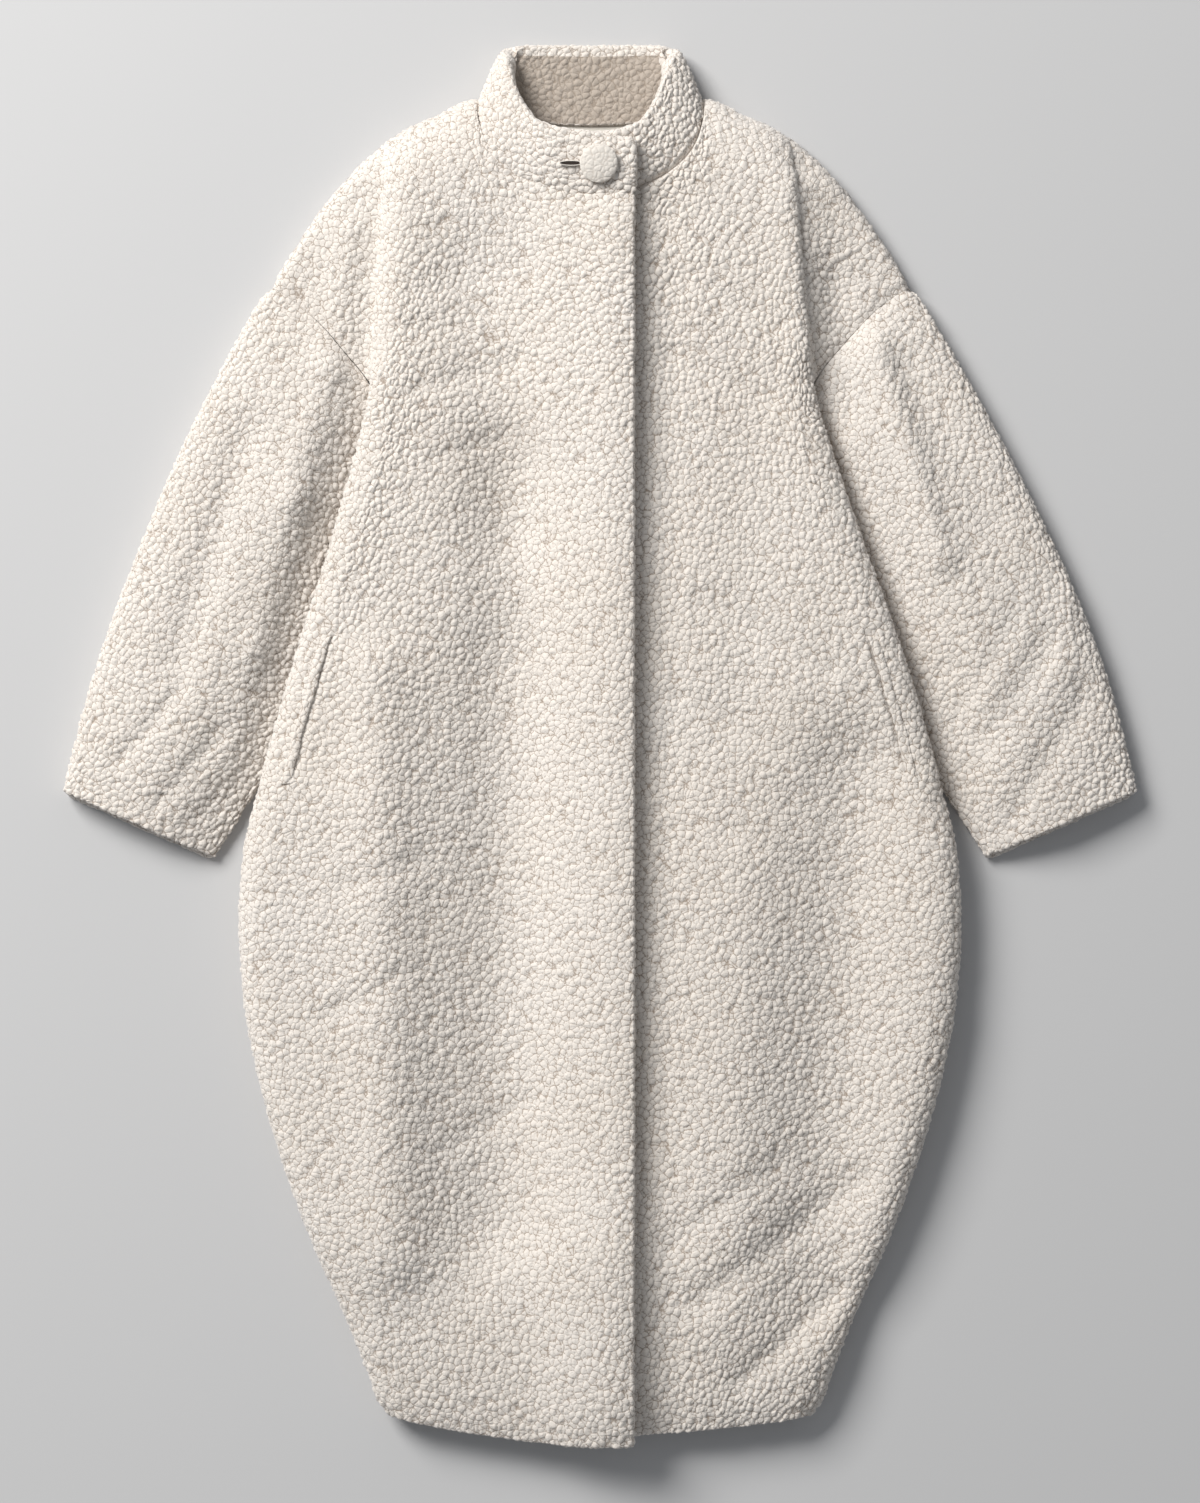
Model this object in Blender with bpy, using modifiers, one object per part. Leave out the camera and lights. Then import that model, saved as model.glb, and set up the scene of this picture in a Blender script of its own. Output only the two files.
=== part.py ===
"""Cocoon coat of ivory boucle wool, laid flat on its back with its collar buttoned.

The coat's hem points to -Y and its collar to +Y, and +Z is up from the surface that it lies on.
The wearer's right side is at -X. Lengths in the tables are in millimetres, and every panel is an
open sheet shaped by the functions below, which a Solidify modifier gives the cloth's thickness.

"Own x" is a distance from the coat's middle towards a panel's own side seam, so one set of
tables serves both halves. The shoulders lie a little to one side of the hem, which lean() adds.
"""

import math
from bisect import bisect_right
from collections import namedtuple

import bmesh
import bpy
from mathutils import Vector

MM = 0.001

# Driving dimensions
WALL = 4.0  # thickness of the boucle cloth
SEAM_GAP = 0.3  # between sewn pieces
LAP_GAP = 0.5  # between the fronts, and the collar's ends, where they lap
LAP = 27.0  # how far each front runs past the centre line
SHOULDER_LEAN = -8.0
SHOULDER_SEAM_Z = 9.6
NECK_HALF_WIDTH = 97.0
NECK_TOP_Y = 537.0
FRONT_NECK_DEPTH = 75.0
BACK_NECK_DEPTH = 11.0
SHOULDER_TIP = (271.0, 388.0)
SHOULDER_BULGE = 40.0
SHOULDER_TRIM = 6.0  # how far below the shoulder's tip its seam still parts the two walls
COLLAR_SWELL = 3.0
WELT_THICKNESS = 2.6
WELT_Y = (-40.0, 100.0)
FACING_THICKNESS = 1.2
FACING_HALF_WIDTH = 66.0
FACING_DEPTH = 26.0
BUTTON_RADIUS = 16.0
BUTTON_THICKNESS = 7.0
BUTTON_AT = (-0.5, 489.5)

# Steps of the grids
LAP_STEPS = 3
GUIDE_STEPS = 5
CHEST_STEPS = 4
ROLL_STEPS = 4
TUCK_STEPS = 4
BACK_STEPS = (5, 3, 4)
SLEEVE_STEPS = 20
MOST_ROW_SPACING = 48.0
COLLAR_RISE_STEPS = 4

# Sections of the body from the hem up to the underarm: the half width, the height of its widest
# edge, how far the side seam is tucked under that edge, the seam's height and the crown's height
BodyRow = namedtuple("BodyRow", "y half_width edge_z tuck seam_z crown_z")
BODY = [
    BodyRow(-567, 180.0, 17, 8, 8.0, 30),
    BodyRow(-555, 188.5, 19, 8, 9.0, 33),
    BodyRow(-537, 194.5, 21, 8, 9.5, 36),
    BodyRow(-486, 214.4, 24, 8, 10.0, 40),
    BodyRow(-419, 244.0, 26, 8, 10.0, 42),
    BodyRow(-351, 269.0, 26, 8, 10.0, 42),
    BodyRow(-284, 288.0, 27, 8, 10.0, 42),
    BodyRow(-216, 301.0, 27, 8, 10.0, 42),
    BodyRow(-149, 305.0, 27, 8, 10.0, 42),
    BodyRow(-95, 301.5, 28, 10, 10.5, 42),
    BodyRow(-30, 286.5, 29, 16, 12.0, 42),
    BodyRow(33, 269.5, 30, 20, 13.0, 42),
    BodyRow(96, 250.0, 30, 20, 13.0, 42),
    BodyRow(160, 228.5, 30, 20, 13.0, 42),
    BodyRow(223, 208.5, 30, 20, 13.5, 42),
]

# Sections from the underarm to the shoulder: the armhole seam with its height on the front and on
# the back, the fold where the front drops to the armhole, a guide that ends where the neck meets
# the shoulder, and the section's height at the centre of the front and of the back
YokeRow = namedtuple(
    "YokeRow", "seam_x seam_y front_z back_z fold_x fold_z guide_x guide_y front_y back_y"
)
YOKE = [
    YokeRow(176.0, 261, 14.0, 13.7, 197, 31, 120, 300, 302, 285),
    YokeRow(181.5, 283, 17.0, 4.0, 191, 31, 114, 350, 335, 322),
    YokeRow(188.0, 304, 18.5, 0.5, 187, 31, 108, 395, 368, 362),
    YokeRow(211.0, 336, 19.0, 0.0, 180, 30, 103, 450, 402, 415),
    YokeRow(242.0, 368, 19.0, 0.0, 174, 29, 99, 506, 440, 478),
    YokeRow(258.0, 380, 19.0, 0.0, 171, 28, 97.5, 527, 454, 508),
    YokeRow(271.0, 388, 19.0, 0.0, 168, 28, 97, 537, 462, 526),
]

# Rings of a sleeve after the armhole: its outer and inner edge, its height along the crown and
# beside the inner edge, and how far the ring bows towards the body
SleeveRow = namedtuple("SleeveRow", "outer_x outer_y inner_x inner_y crown_z inner_z bow")
SLEEVE = [
    SleeveRow(273.5, 387, 176.5, 260, 20, 15, 17),
    SleeveRow(283.0, 372, 183.5, 245, 24, 14, 15),
    SleeveRow(306.0, 332, 195.0, 215, 28, 14, 11),
    SleeveRow(330.0, 288, 209.5, 180, 30, 14, 7),
    SleeveRow(354.5, 240, 222.5, 145, 31, 14, 4),
    SleeveRow(378.0, 189, 235.5, 108, 31, 14, 2),
    SleeveRow(400.0, 138, 249.0, 68, 31, 14, 0),
    SleeveRow(420.0, 86, 260.5, 28, 31, 14, 0),
    SleeveRow(437.0, 32, 272.5, -12, 30, 14, 0),
    SleeveRow(447.5, -8, 297.0, -48, 29, 18, 0),
    SleeveRow(454.8, -38.5, 327.0, -95, 27, 20, 0),
]

# The collar's free edge over half of its way round, from the centre back to past the centre front
RimRow = namedtuple("RimRow", "share x y z")
RIM = [
    RimRow(0.00, 0, 589.6, 0.0),
    RimRow(0.20, 33, 589.8, 0.0),
    RimRow(0.34, 56, 590.0, 1.5),
    RimRow(0.42, 67, 589.0, 8.0),
    RimRow(0.49, 70.5, 585.5, 19.0),
    RimRow(0.57, 65, 577.0, 31.0),
    RimRow(0.66, 57, 562.0, 39.0),
    RimRow(0.76, 48, 546.0, 45.0),
    RimRow(0.86, 36, 531.5, 50.0),
    RimRow(0.94, 19, 524.5, 53.0),
    RimRow(1.00, 0, 522.0, 54.0),
    RimRow(1.15, -35, 516.0, 54.0),
]
COLLAR_SIDE = 0.42  # share of the way round where the collar meets the shoulder seam

# Broad soft folds of both fronts: a line, how wide and how high the fold stands, down if negative
Fold = namedtuple("Fold", "from_x from_y to_x to_y width height")
FOLDS = [
    Fold(6, 420, 8, -520, 42, 4.5),
    Fold(-92, 60, -112, -430, 44, -6.0),
    Fold(-222, -60, -205, -400, 40, 4.0),
    Fold(165, -60, 160, -470, 44, -4.0),
    Fold(95, 330, 75, 0, 45, -2.5),
    Fold(-195, 455, -196, 330, 16, -5.0),
    Fold(190, 455, 199, 330, 16, -5.0),
]

ROLL_WIDTH = 28.0
HEM_DROP = {-1: 23.0, 1: 16.0, 0: 16.0}
HEM_FADE = 150.0
LIFT_FULL_X = 22.0
LIFT_END_X = 66.0
LAST_TUCK_ANGLE = math.radians(75)

IVORY = (0.80, 0.745, 0.675)
IVORY_PLAIN = (0.83, 0.78, 0.71)
SATIN_IVORY = (0.86, 0.82, 0.76)


def smooth_step(value, low, high):
    """0 below low, 1 above high, and an easy curve between them."""
    share = min(1.0, max(0.0, (value - low) / (high - low)))
    return share * share * (3 - 2 * share)


def rolled(share):
    """Height of a quarter circle at a share of its way in from the rim."""
    inside = min(1.0, max(0.0, share))
    return math.sqrt(1 - (1 - inside) ** 2)


class Track:
    """A smooth curve through a table's column that never overshoots its rows."""

    def __init__(self, places, values):
        self.places = [float(place) for place in places]
        self.values = [float(value) for value in values]
        steps = [b - a for a, b in zip(self.places, self.places[1:])]
        slopes = [(b - a) / step for a, b, step in zip(self.values, self.values[1:], steps)]
        self.tangents = [slopes[0]]
        for before, after, left, right in zip(slopes, slopes[1:], steps, steps[1:]):
            flat = before * after <= 0
            first, second = 2 * right + left, right + 2 * left
            blend = 0.0 if flat else (first + second) / (first / before + second / after)
            self.tangents.append(blend)
        self.tangents.append(slopes[-1])

    def at(self, place):
        index = min(max(bisect_right(self.places, place) - 1, 0), len(self.places) - 2)
        step = self.places[index + 1] - self.places[index]
        share = min(1.0, max(0.0, (place - self.places[index]) / step))
        square, cube = share * share, share**3
        return (
            self.values[index] * (2 * cube - 3 * square + 1)
            + self.values[index + 1] * (3 * square - 2 * cube)
            + self.tangents[index] * step * (cube - 2 * square + share)
            + self.tangents[index + 1] * step * (cube - square)
        )


def tracks_of(rows, key):
    """A Track for each column of a table, along the column named by key."""
    places = [getattr(row, key) for row in rows]
    return {name: Track(places, [getattr(row, name) for row in rows]) for name in rows[0]._fields}


def section_rows():
    """The body's and the yoke's sections in one table, placed by the height of their seam."""
    Section = namedtuple(
        "Section",
        "seam_y seam_x front_z back_z edge_x edge_z crown_z guide_x guide_y front_y back_y",
    )
    first_y, underarm_y = BODY[0].y, YOKE[0].seam_y
    for row in BODY:
        slant = 41 * smooth_step(row.y, -95, underarm_y)
        yield Section(
            seam_y=row.y,
            seam_x=row.half_width - row.tuck,
            front_z=row.seam_z,
            back_z=row.seam_z - SEAM_GAP,
            edge_x=row.half_width,
            edge_z=row.edge_z,
            crown_z=row.crown_z,
            guide_x=90 + 35 * smooth_step(row.y, first_y, -350),
            guide_y=row.y + slant,
            front_y=row.y + slant,
            back_y=row.y + 0.6 * slant,
        )
    for row in YOKE:
        yield Section(
            seam_y=row.seam_y,
            seam_x=row.seam_x,
            front_z=row.front_z,
            back_z=row.back_z,
            edge_x=row.fold_x,
            edge_z=row.fold_z,
            crown_z=42,
            guide_x=row.guide_x,
            guide_y=row.guide_y,
            front_y=row.front_y,
            back_y=row.back_y,
        )


SECTION_ROWS = list(section_rows())
SECTION = tracks_of(SECTION_ROWS, "seam_y")
SLEEVE_RING = {
    name: Track(range(len(SLEEVE)), [getattr(row, name) for row in SLEEVE])
    for name in SleeveRow._fields
}
COLLAR_RIM = tracks_of(RIM, "share")
ARMHOLE_Y = (YOKE[-1].seam_y, YOKE[0].seam_y)


def eased_steps(steps):
    """Shares from 0 to 1 that close up towards 1, as the neck's curve needs."""
    return [math.sin(math.pi / 2 * step / steps) for step in range(steps + 1)]


def lean(y):
    """How far the coat's middle has moved to one side at this height."""
    return SHOULDER_LEAN * smooth_step(y, 40, 390)


def world(side, own_x, y, z):
    """A point of one half, from its own x to the coat's frame."""
    return Vector((side * own_x + lean(y), y, z))


def shoulder_y(own_x):
    """The shoulder seam, carried on flat over the neck."""
    tip_x, tip_y = SHOULDER_TIP
    share = (tip_x - own_x) / (tip_x - NECK_HALF_WIDTH)
    if share > 1:
        return NECK_TOP_Y + 0.35 * (NECK_HALF_WIDTH - own_x)
    rise = (NECK_TOP_Y - tip_y) * share
    return tip_y + rise + SHOULDER_BULGE * 4 * share * (1 - share)


def shoulder_shape(share):
    """The shoulder seam's form over a height of 1, for sections that run beside it."""
    bulge = 4 * SHOULDER_BULGE / (NECK_TOP_Y - SHOULDER_TIP[1])
    return share + bulge * share * (1 - share)


def outer_y(seam_y, own_x):
    """Where a section runs between the guide line and the side seam or armhole."""
    seam_x, guide_x = SECTION["seam_x"].at(seam_y), SECTION["guide_x"].at(seam_y)
    share = min(1.0, max(0.0, (seam_x - own_x) / (seam_x - guide_x)))
    return seam_y + (SECTION["guide_y"].at(seam_y) - seam_y) * shoulder_shape(share)


def hem_drop(side, own_x, y):
    """How far the hem's curve takes a point down."""
    across = 1 - min(1.0, abs(own_x) / BODY[0].half_width) ** 1.8
    return HEM_DROP[side] * across * (1 - smooth_step(y, BODY[0].y, BODY[0].y + HEM_FADE))


def fold_height(point):
    """The broad folds' height over the fronts at a point of the coat."""
    total = 0.0
    for fold in FOLDS:
        start = Vector((fold.from_x, fold.from_y))
        run = Vector((fold.to_x, fold.to_y)) - start
        share = (Vector(point[:2]) - start).dot(run) / run.length_squared
        nearest = start + run * min(1.0, max(0.0, share))
        distance = (Vector(point[:2]) - nearest).length
        total += fold.height * math.exp(-((distance / fold.width) ** 2))
    return total


def lapped(side, own_x):
    """How far the front on top is lifted by the one beneath it."""
    if side > 0:
        return 0.0
    return (WALL + LAP_GAP) * (1 - smooth_step(own_x, LIFT_FULL_X, LIFT_END_X))


def lap_x(side, seam_y, world_x):
    """Own x of a line that is straight down both fronts, lap_x(side, y, LAP) being the edge."""
    return -world_x - side * lean(SECTION["front_y"].at(seam_y))


def front_point(side, column, seam_y):
    """A point on a front's outer face. The column counts grid steps from its edge to its seam."""
    at = {name: track.at(seam_y) for name, track in SECTION.items()}
    roll_x = at["edge_x"] - ROLL_WIDTH
    lap_end = lap_x(side, seam_y, -LAP)
    guide_end = LAP_STEPS + GUIDE_STEPS
    chest_end = guide_end + CHEST_STEPS
    roll_end = chest_end + ROLL_STEPS
    height = at["crown_z"]
    if column <= LAP_STEPS:
        own_x = lap_x(side, seam_y, LAP) + 2 * LAP * column / LAP_STEPS
    elif column <= guide_end:
        share = math.sin(math.pi / 2 * (column - LAP_STEPS) / GUIDE_STEPS)
        own_x = lap_end + (at["guide_x"] - lap_end) * share
    elif column <= chest_end:
        own_x = at["guide_x"] + (roll_x - at["guide_x"]) * (column - guide_end) / CHEST_STEPS
    elif column <= roll_end:
        angle = math.pi / 2 * (1 - (column - chest_end) / ROLL_STEPS)
        own_x = roll_x + ROLL_WIDTH * math.cos(angle)
        height = at["edge_z"] + (at["crown_z"] - at["edge_z"]) * math.sin(angle)
    else:
        angle = LAST_TUCK_ANGLE * (column - roll_end) / TUCK_STEPS
        inward = (1 - math.cos(angle)) / (1 - math.cos(LAST_TUCK_ANGLE))
        down = math.sin(angle) / math.sin(LAST_TUCK_ANGLE)
        own_x = at["edge_x"] + (at["seam_x"] - at["edge_x"]) * inward
        height = at["edge_z"] + (at["front_z"] - at["edge_z"]) * down
    if column <= guide_end:
        across = max(0.0, own_x) / at["guide_x"]
        rise = (at["guide_y"] - at["front_y"]) * (1 - math.sqrt(max(0.0, 1 - across**2)))
        y = at["front_y"] + rise
    else:
        y = outer_y(seam_y, own_x)
    tucked = max(0.0, column - chest_end) / (ROLL_STEPS + TUCK_STEPS)
    point = world(side, own_x, y, height)
    height += fold_height(point) * (1 - smooth_step(tucked, 0.2, 0.8))
    height += lapped(side, own_x)
    full = height - SHOULDER_SEAM_Z
    below = shoulder_y(own_x) - y if own_x < SHOULDER_TIP[0] else SHOULDER_TIP[1] - y
    height = SHOULDER_SEAM_Z + full * rolled(below / max(10.0, 1.8 * full)) if full > 0 else height
    return Vector((point.x, y - hem_drop(side, own_x, y), height))


def back_point(column, seam_y):
    """A point on the back's outer face, which lies on the surface but for its edges."""
    to_guide, to_foot, to_seam = BACK_STEPS
    side = -1 if column < 0 else 1
    step = abs(column)
    at = {name: track.at(seam_y) for name, track in SECTION.items()}
    foot = 10 + 0.3 * max(0.0, at["edge_x"] - at["seam_x"])
    foot_x = at["seam_x"] - foot
    if step <= to_guide:
        own_x = at["guide_x"] * math.sin(math.pi / 2 * step / to_guide)
        y = at["back_y"] + (at["guide_y"] - at["back_y"]) * (own_x / at["guide_x"]) ** 2
    elif step <= to_guide + to_foot:
        share = (step - to_guide) / to_foot
        own_x = at["guide_x"] + (foot_x - at["guide_x"]) * share
        y = outer_y(seam_y, own_x)
    else:
        own_x = foot_x + foot * (step - to_guide - to_foot) / to_seam
        y = outer_y(seam_y, own_x)
    risen = max(0.0, (own_x - foot_x) / foot)
    height = at["back_z"] * risen**2
    below = shoulder_y(own_x) - y if own_x < SHOULDER_TIP[0] else SHOULDER_TIP[1] - y
    edge_height = (SHOULDER_SEAM_Z - SEAM_GAP) * (1 - rolled(below / 14))
    point = world(side, own_x, y, max(height, edge_height))
    return point - Vector((0, hem_drop(0, own_x, y), 0))


def neck_point(side, share):
    """A point of the neck's seam line, from the centre back at 0 to the centre front at 1."""
    if share <= COLLAR_SIDE:
        own_x = NECK_HALF_WIDTH * share / COLLAR_SIDE
        y = NECK_TOP_Y - BACK_NECK_DEPTH * (1 - (own_x / NECK_HALF_WIDTH) ** 2)
        below = shoulder_y(own_x) - y
        z = (SHOULDER_SEAM_Z - SEAM_GAP) * (1 - rolled(below / 14))
        return world(side, own_x, y, z)
    turn = math.pi / 2 * max(0.0, (1 - share) / (1 - COLLAR_SIDE))
    own_x = NECK_HALF_WIDTH * math.sin(turn)
    y = NECK_TOP_Y - FRONT_NECK_DEPTH * math.cos(turn)
    if share > 1:
        own_x = RIM[-1].x * (share - 1) / (RIM[-1].share - 1)
    height = SECTION["crown_z"].at(SHOULDER_TIP[1]) + fold_height(world(side, own_x, y, 0))
    full = height + lapped(side, own_x) - SHOULDER_SEAM_Z
    z = SHOULDER_SEAM_Z + full * rolled((shoulder_y(own_x) - y) / (1.8 * full))
    return world(side, own_x, y, z)


def collar_point(turn, rise):
    """A point on the collar's outer face. turn runs from the end on top, below 0, to the other."""
    side = -1 if turn < 0 else 1
    share = abs(turn)
    base = neck_point(side, share)
    rim_y = COLLAR_RIM["y"].at(share)
    base_own_x = side * (base.x - lean(base.y))
    lift = lapped(side, base_own_x) if share > COLLAR_SIDE else 0.0
    rim = world(side, COLLAR_RIM["x"].at(share), rim_y, COLLAR_RIM["z"].at(share) + lift)
    run = rim - base
    inward = Vector((run.x, run.y, 0)).normalized()
    start = base + inward * 2.5 * SEAM_GAP
    swell = COLLAR_SWELL * smooth_step(share, 0.5, 0.75) * 4 * rise * (1 - rise)
    return start + (rim - start) * rise + Vector((0, 0, swell))


def armhole_y(angle):
    """The seam height where a sleeve's ring passes, from the shoulder's tip to the underarm."""
    return ARMHOLE_Y[0] + (ARMHOLE_Y[1] - ARMHOLE_Y[0]) * (1 - math.cos(angle)) / 2


def armhole_point(angle):
    """The sleeve's first ring, just off the armhole. The angle runs over the top from the tip."""
    seam_y = armhole_y(angle)
    own_x = SECTION["seam_x"].at(seam_y)
    full = SECTION["front_z"].at(seam_y) - SHOULDER_SEAM_Z
    below = (shoulder_y(own_x) if own_x < SHOULDER_TIP[0] else SHOULDER_TIP[1]) - seam_y
    top_z = SHOULDER_SEAM_Z + full * rolled(below / max(10.0, 1.8 * full))
    edge_z = (SHOULDER_SEAM_Z - SEAM_GAP) * (1 - rolled(below / 14))
    bottom_z = max(SECTION["back_z"].at(seam_y), edge_z)
    middle = (top_z + bottom_z) / 2
    ends = smooth_step(abs(math.sin(angle)), 0, 0.3)
    z = middle + ((top_z if math.sin(angle) > 0 else bottom_z) - middle) * ends
    clear = Vector((0.39, -0.92)) * 3 * SEAM_GAP
    clear.x += 6 * SEAM_GAP * smooth_step(-math.cos(angle), 0.6, 1.0)
    return Vector((own_x + clear.x, seam_y + clear.y, z))


def ring_point(ring, angle):
    """A point on a sleeve's oval ring, in own x, lying flat along its bottom."""
    at = {name: track.at(ring) for name, track in SLEEVE_RING.items()}
    share = (1 - math.cos(angle)) / 2
    outer = Vector((at["outer_x"], at["outer_y"]))
    inner = Vector((at["inner_x"], at["inner_y"]))
    chord = inner - outer
    across = Vector((chord.y, -chord.x)).normalized()
    place = outer + chord * share + across * at["bow"] * 4 * share * (1 - share)
    edge_z = 12 - 6 * share
    top_z = at["crown_z"] + (at["inner_z"] - at["crown_z"]) * smooth_step(share, 0.45, 1.0)
    rise = abs(math.sin(angle))
    if math.sin(angle) >= 0:
        z = edge_z + (top_z - edge_z) * rise**0.6
    else:
        z = edge_z * max(0.0, 1 - rise / 0.55) ** 2
    return Vector((place.x, place.y, z))


def sleeve_point(side, ring, angle):
    """A point on a sleeve's outer face, ring 0 being the armhole's own shape."""
    point = ring_point(ring, angle)
    fade = max(0.0, 1 - ring / 1.5) ** 2
    if fade:
        point += (armhole_point(angle) - ring_point(0, angle)) * fade
    return world(side, point.x, point.y, point.z)


def finish(name, obj, colour, roughness):
    """Names an object, puts it in the coat's collection and gives it its own material."""
    obj.name = name
    obj.data.name = name
    material = bpy.data.materials.new(name)
    material.use_nodes = True
    shader = material.node_tree.nodes["Principled BSDF"]
    shader.inputs["Base Color"].default_value = (*colour, 1)
    shader.inputs["Roughness"].default_value = roughness
    obj.data.materials.append(material)
    for collection in list(obj.users_collection):
        collection.objects.unlink(obj)
    bpy.data.collections["cocoon_coat"].objects.link(obj)
    obj.data.shade_smooth()
    return obj


def thicken(obj, thickness, offset=-1.0):
    """Gives a sheet its thickness, inwards unless the offset says otherwise."""
    solid = obj.modifiers.new("cloth_thickness", "SOLIDIFY")
    solid.thickness = thickness * MM
    solid.offset = offset
    solid.use_even_offset = False
    bpy.context.view_layer.objects.active = obj
    bpy.ops.object.modifier_apply(modifier=solid.name)


def trim_to_shoulder_seam(obj, lowest, highest):
    """Keeps the wall beside the shoulder seam on the panel's own side of the seam."""
    for vertex in obj.data.vertices:
        if vertex.co.y > (SHOULDER_TIP[1] - SHOULDER_TRIM) * MM:
            vertex.co.z = min(highest * MM, max(lowest * MM, vertex.co.z))


def sheet(columns, rows, place, flip):
    """A grid with each of its points put where place(column, row) says, in millimetres."""
    bpy.ops.mesh.primitive_grid_add(x_subdivisions=columns, y_subdivisions=rows, size=1)
    obj = bpy.context.object
    for vertex in obj.data.vertices:
        column = round((vertex.co.x + 0.5) * columns)
        row = round((vertex.co.y + 0.5) * rows)
        vertex.co = place(column, row) * MM
    if flip:
        obj.data.flip_normals()
    return obj


def armhole_heights():
    """The seam heights where a sleeve's grid meets the armhole, from the underarm up."""
    half = SLEEVE_STEPS // 2
    return [armhole_y(math.pi * step / half) for step in range(half, -1, -1)]


def section_heights():
    """The panels' grid rows: each of the body's sections, those between, and the armhole's."""
    rows = [row.y for row in BODY] + [YOKE[0].seam_y]
    heights = []
    for here, after in zip(rows, rows[1:]):
        heights.append(here)
        if after - here > MOST_ROW_SPACING:
            heights.append((here + after) / 2)
    return heights + armhole_heights()


def front_sheet(side):
    heights = section_heights()
    columns = LAP_STEPS + GUIDE_STEPS + CHEST_STEPS + ROLL_STEPS + TUCK_STEPS
    return sheet(
        columns,
        len(heights) - 1,
        lambda column, row: front_point(side, column, heights[row]),
        flip=side < 0,
    )


def back_sheet():
    heights = section_heights()
    half = sum(BACK_STEPS)
    return sheet(
        2 * half,
        len(heights) - 1,
        lambda column, row: back_point(column - half, heights[row]),
        flip=True,
    )


def make_panel(name, obj, lowest, highest):
    """Thickens a front or the back, which meets the other panels at the shoulder seam."""
    thicken(obj, WALL)
    trim_to_shoulder_seam(obj, lowest, highest)
    return finish(name, obj, IVORY, 0.95)


def make_sleeve(name, side):
    rings = len(SLEEVE) - 1

    def place(column, row):
        return sleeve_point(side, row, 2 * math.pi * (column % SLEEVE_STEPS) / SLEEVE_STEPS)

    obj = sheet(SLEEVE_STEPS, rings, place, flip=side < 0)
    mesh = bmesh.new()
    mesh.from_mesh(obj.data)
    bmesh.ops.remove_doubles(mesh, verts=mesh.verts, dist=0.01 * MM)
    mesh.to_mesh(obj.data)
    mesh.free()
    thicken(obj, WALL)
    return finish(name, obj, IVORY, 0.95)


def collar_turns():
    """The collar's columns as turns from its end on top, meeting the panels' columns at the neck."""

    def turn_at(own_x):
        if own_x < 0:
            return 1 + (RIM[-1].share - 1) * own_x / RIM[-1].x
        return 1 - (1 - COLLAR_SIDE) * math.asin(own_x / NECK_HALF_WIDTH) / (math.pi / 2)

    def half(side):
        end_x = lap_x(side, SHOULDER_TIP[1], LAP)
        lap_end = end_x + 2 * LAP
        back = [COLLAR_SIDE * share for share in eased_steps(BACK_STEPS[0])]
        front = [
            turn_at(lap_end + (NECK_HALF_WIDTH - lap_end) * share)
            for share in reversed(eased_steps(GUIDE_STEPS)[:-1])
        ]
        lap = [turn_at(lap_end - 2 * LAP * step / LAP_STEPS) for step in range(1, LAP_STEPS + 1)]
        return back + front + lap

    return [-turn for turn in reversed(half(-1)[1:])] + half(1)


def make_collar():
    turns = collar_turns()
    obj = sheet(
        len(turns) - 1,
        COLLAR_RISE_STEPS,
        lambda column, row: collar_point(turns[column], row / COLLAR_RISE_STEPS),
        flip=True,
    )
    thicken(obj, WALL)
    return finish("collar", obj, IVORY, 0.95)


def strip_of(panel, keep, away, thickness):
    """A strip made from the panel's own faces, moved out along their normals."""
    source = panel.data
    mesh = bpy.data.meshes.new("strip")
    chosen = [face for face in source.polygons if keep(face.center / MM, face.index)]
    used = sorted({index for face in chosen for index in face.vertices})
    order = {index: place for place, index in enumerate(used)}
    points = [
        source.vertices[index].co + source.vertices[index].normal * away * MM for index in used
    ]
    mesh.from_pydata(points, [], [[order[index] for index in face.vertices] for face in chosen])
    obj = bpy.data.objects.new("strip", mesh)
    bpy.context.scene.collection.objects.link(obj)
    thicken(obj, thickness, offset=1.0 if away > 0 else -1.0)
    return obj


def make_welt(name, panel):
    """The pocket's welt, one grid column wide, along the top of the front's outer roll."""
    columns = LAP_STEPS + GUIDE_STEPS + CHEST_STEPS + ROLL_STEPS + TUCK_STEPS
    welt_column = LAP_STEPS + GUIDE_STEPS + CHEST_STEPS

    def keep(centre, index):
        return index % columns == welt_column and WELT_Y[0] < centre.y < WELT_Y[1]

    strip = strip_of(panel, keep, SEAM_GAP, WELT_THICKNESS)
    return finish(name, strip, IVORY, 0.95)


def make_facing(panel):
    """The smooth facing inside the back's neck."""

    def keep(centre, index):
        near_neck = NECK_TOP_Y - BACK_NECK_DEPTH - FACING_DEPTH < centre.y
        return near_neck and abs(centre.x - SHOULDER_LEAN) < FACING_HALF_WIDTH

    strip = strip_of(panel, keep, -WALL - SEAM_GAP, FACING_THICKNESS)
    return finish("back_neck_facing", strip, SATIN_IVORY, 0.6)


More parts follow.
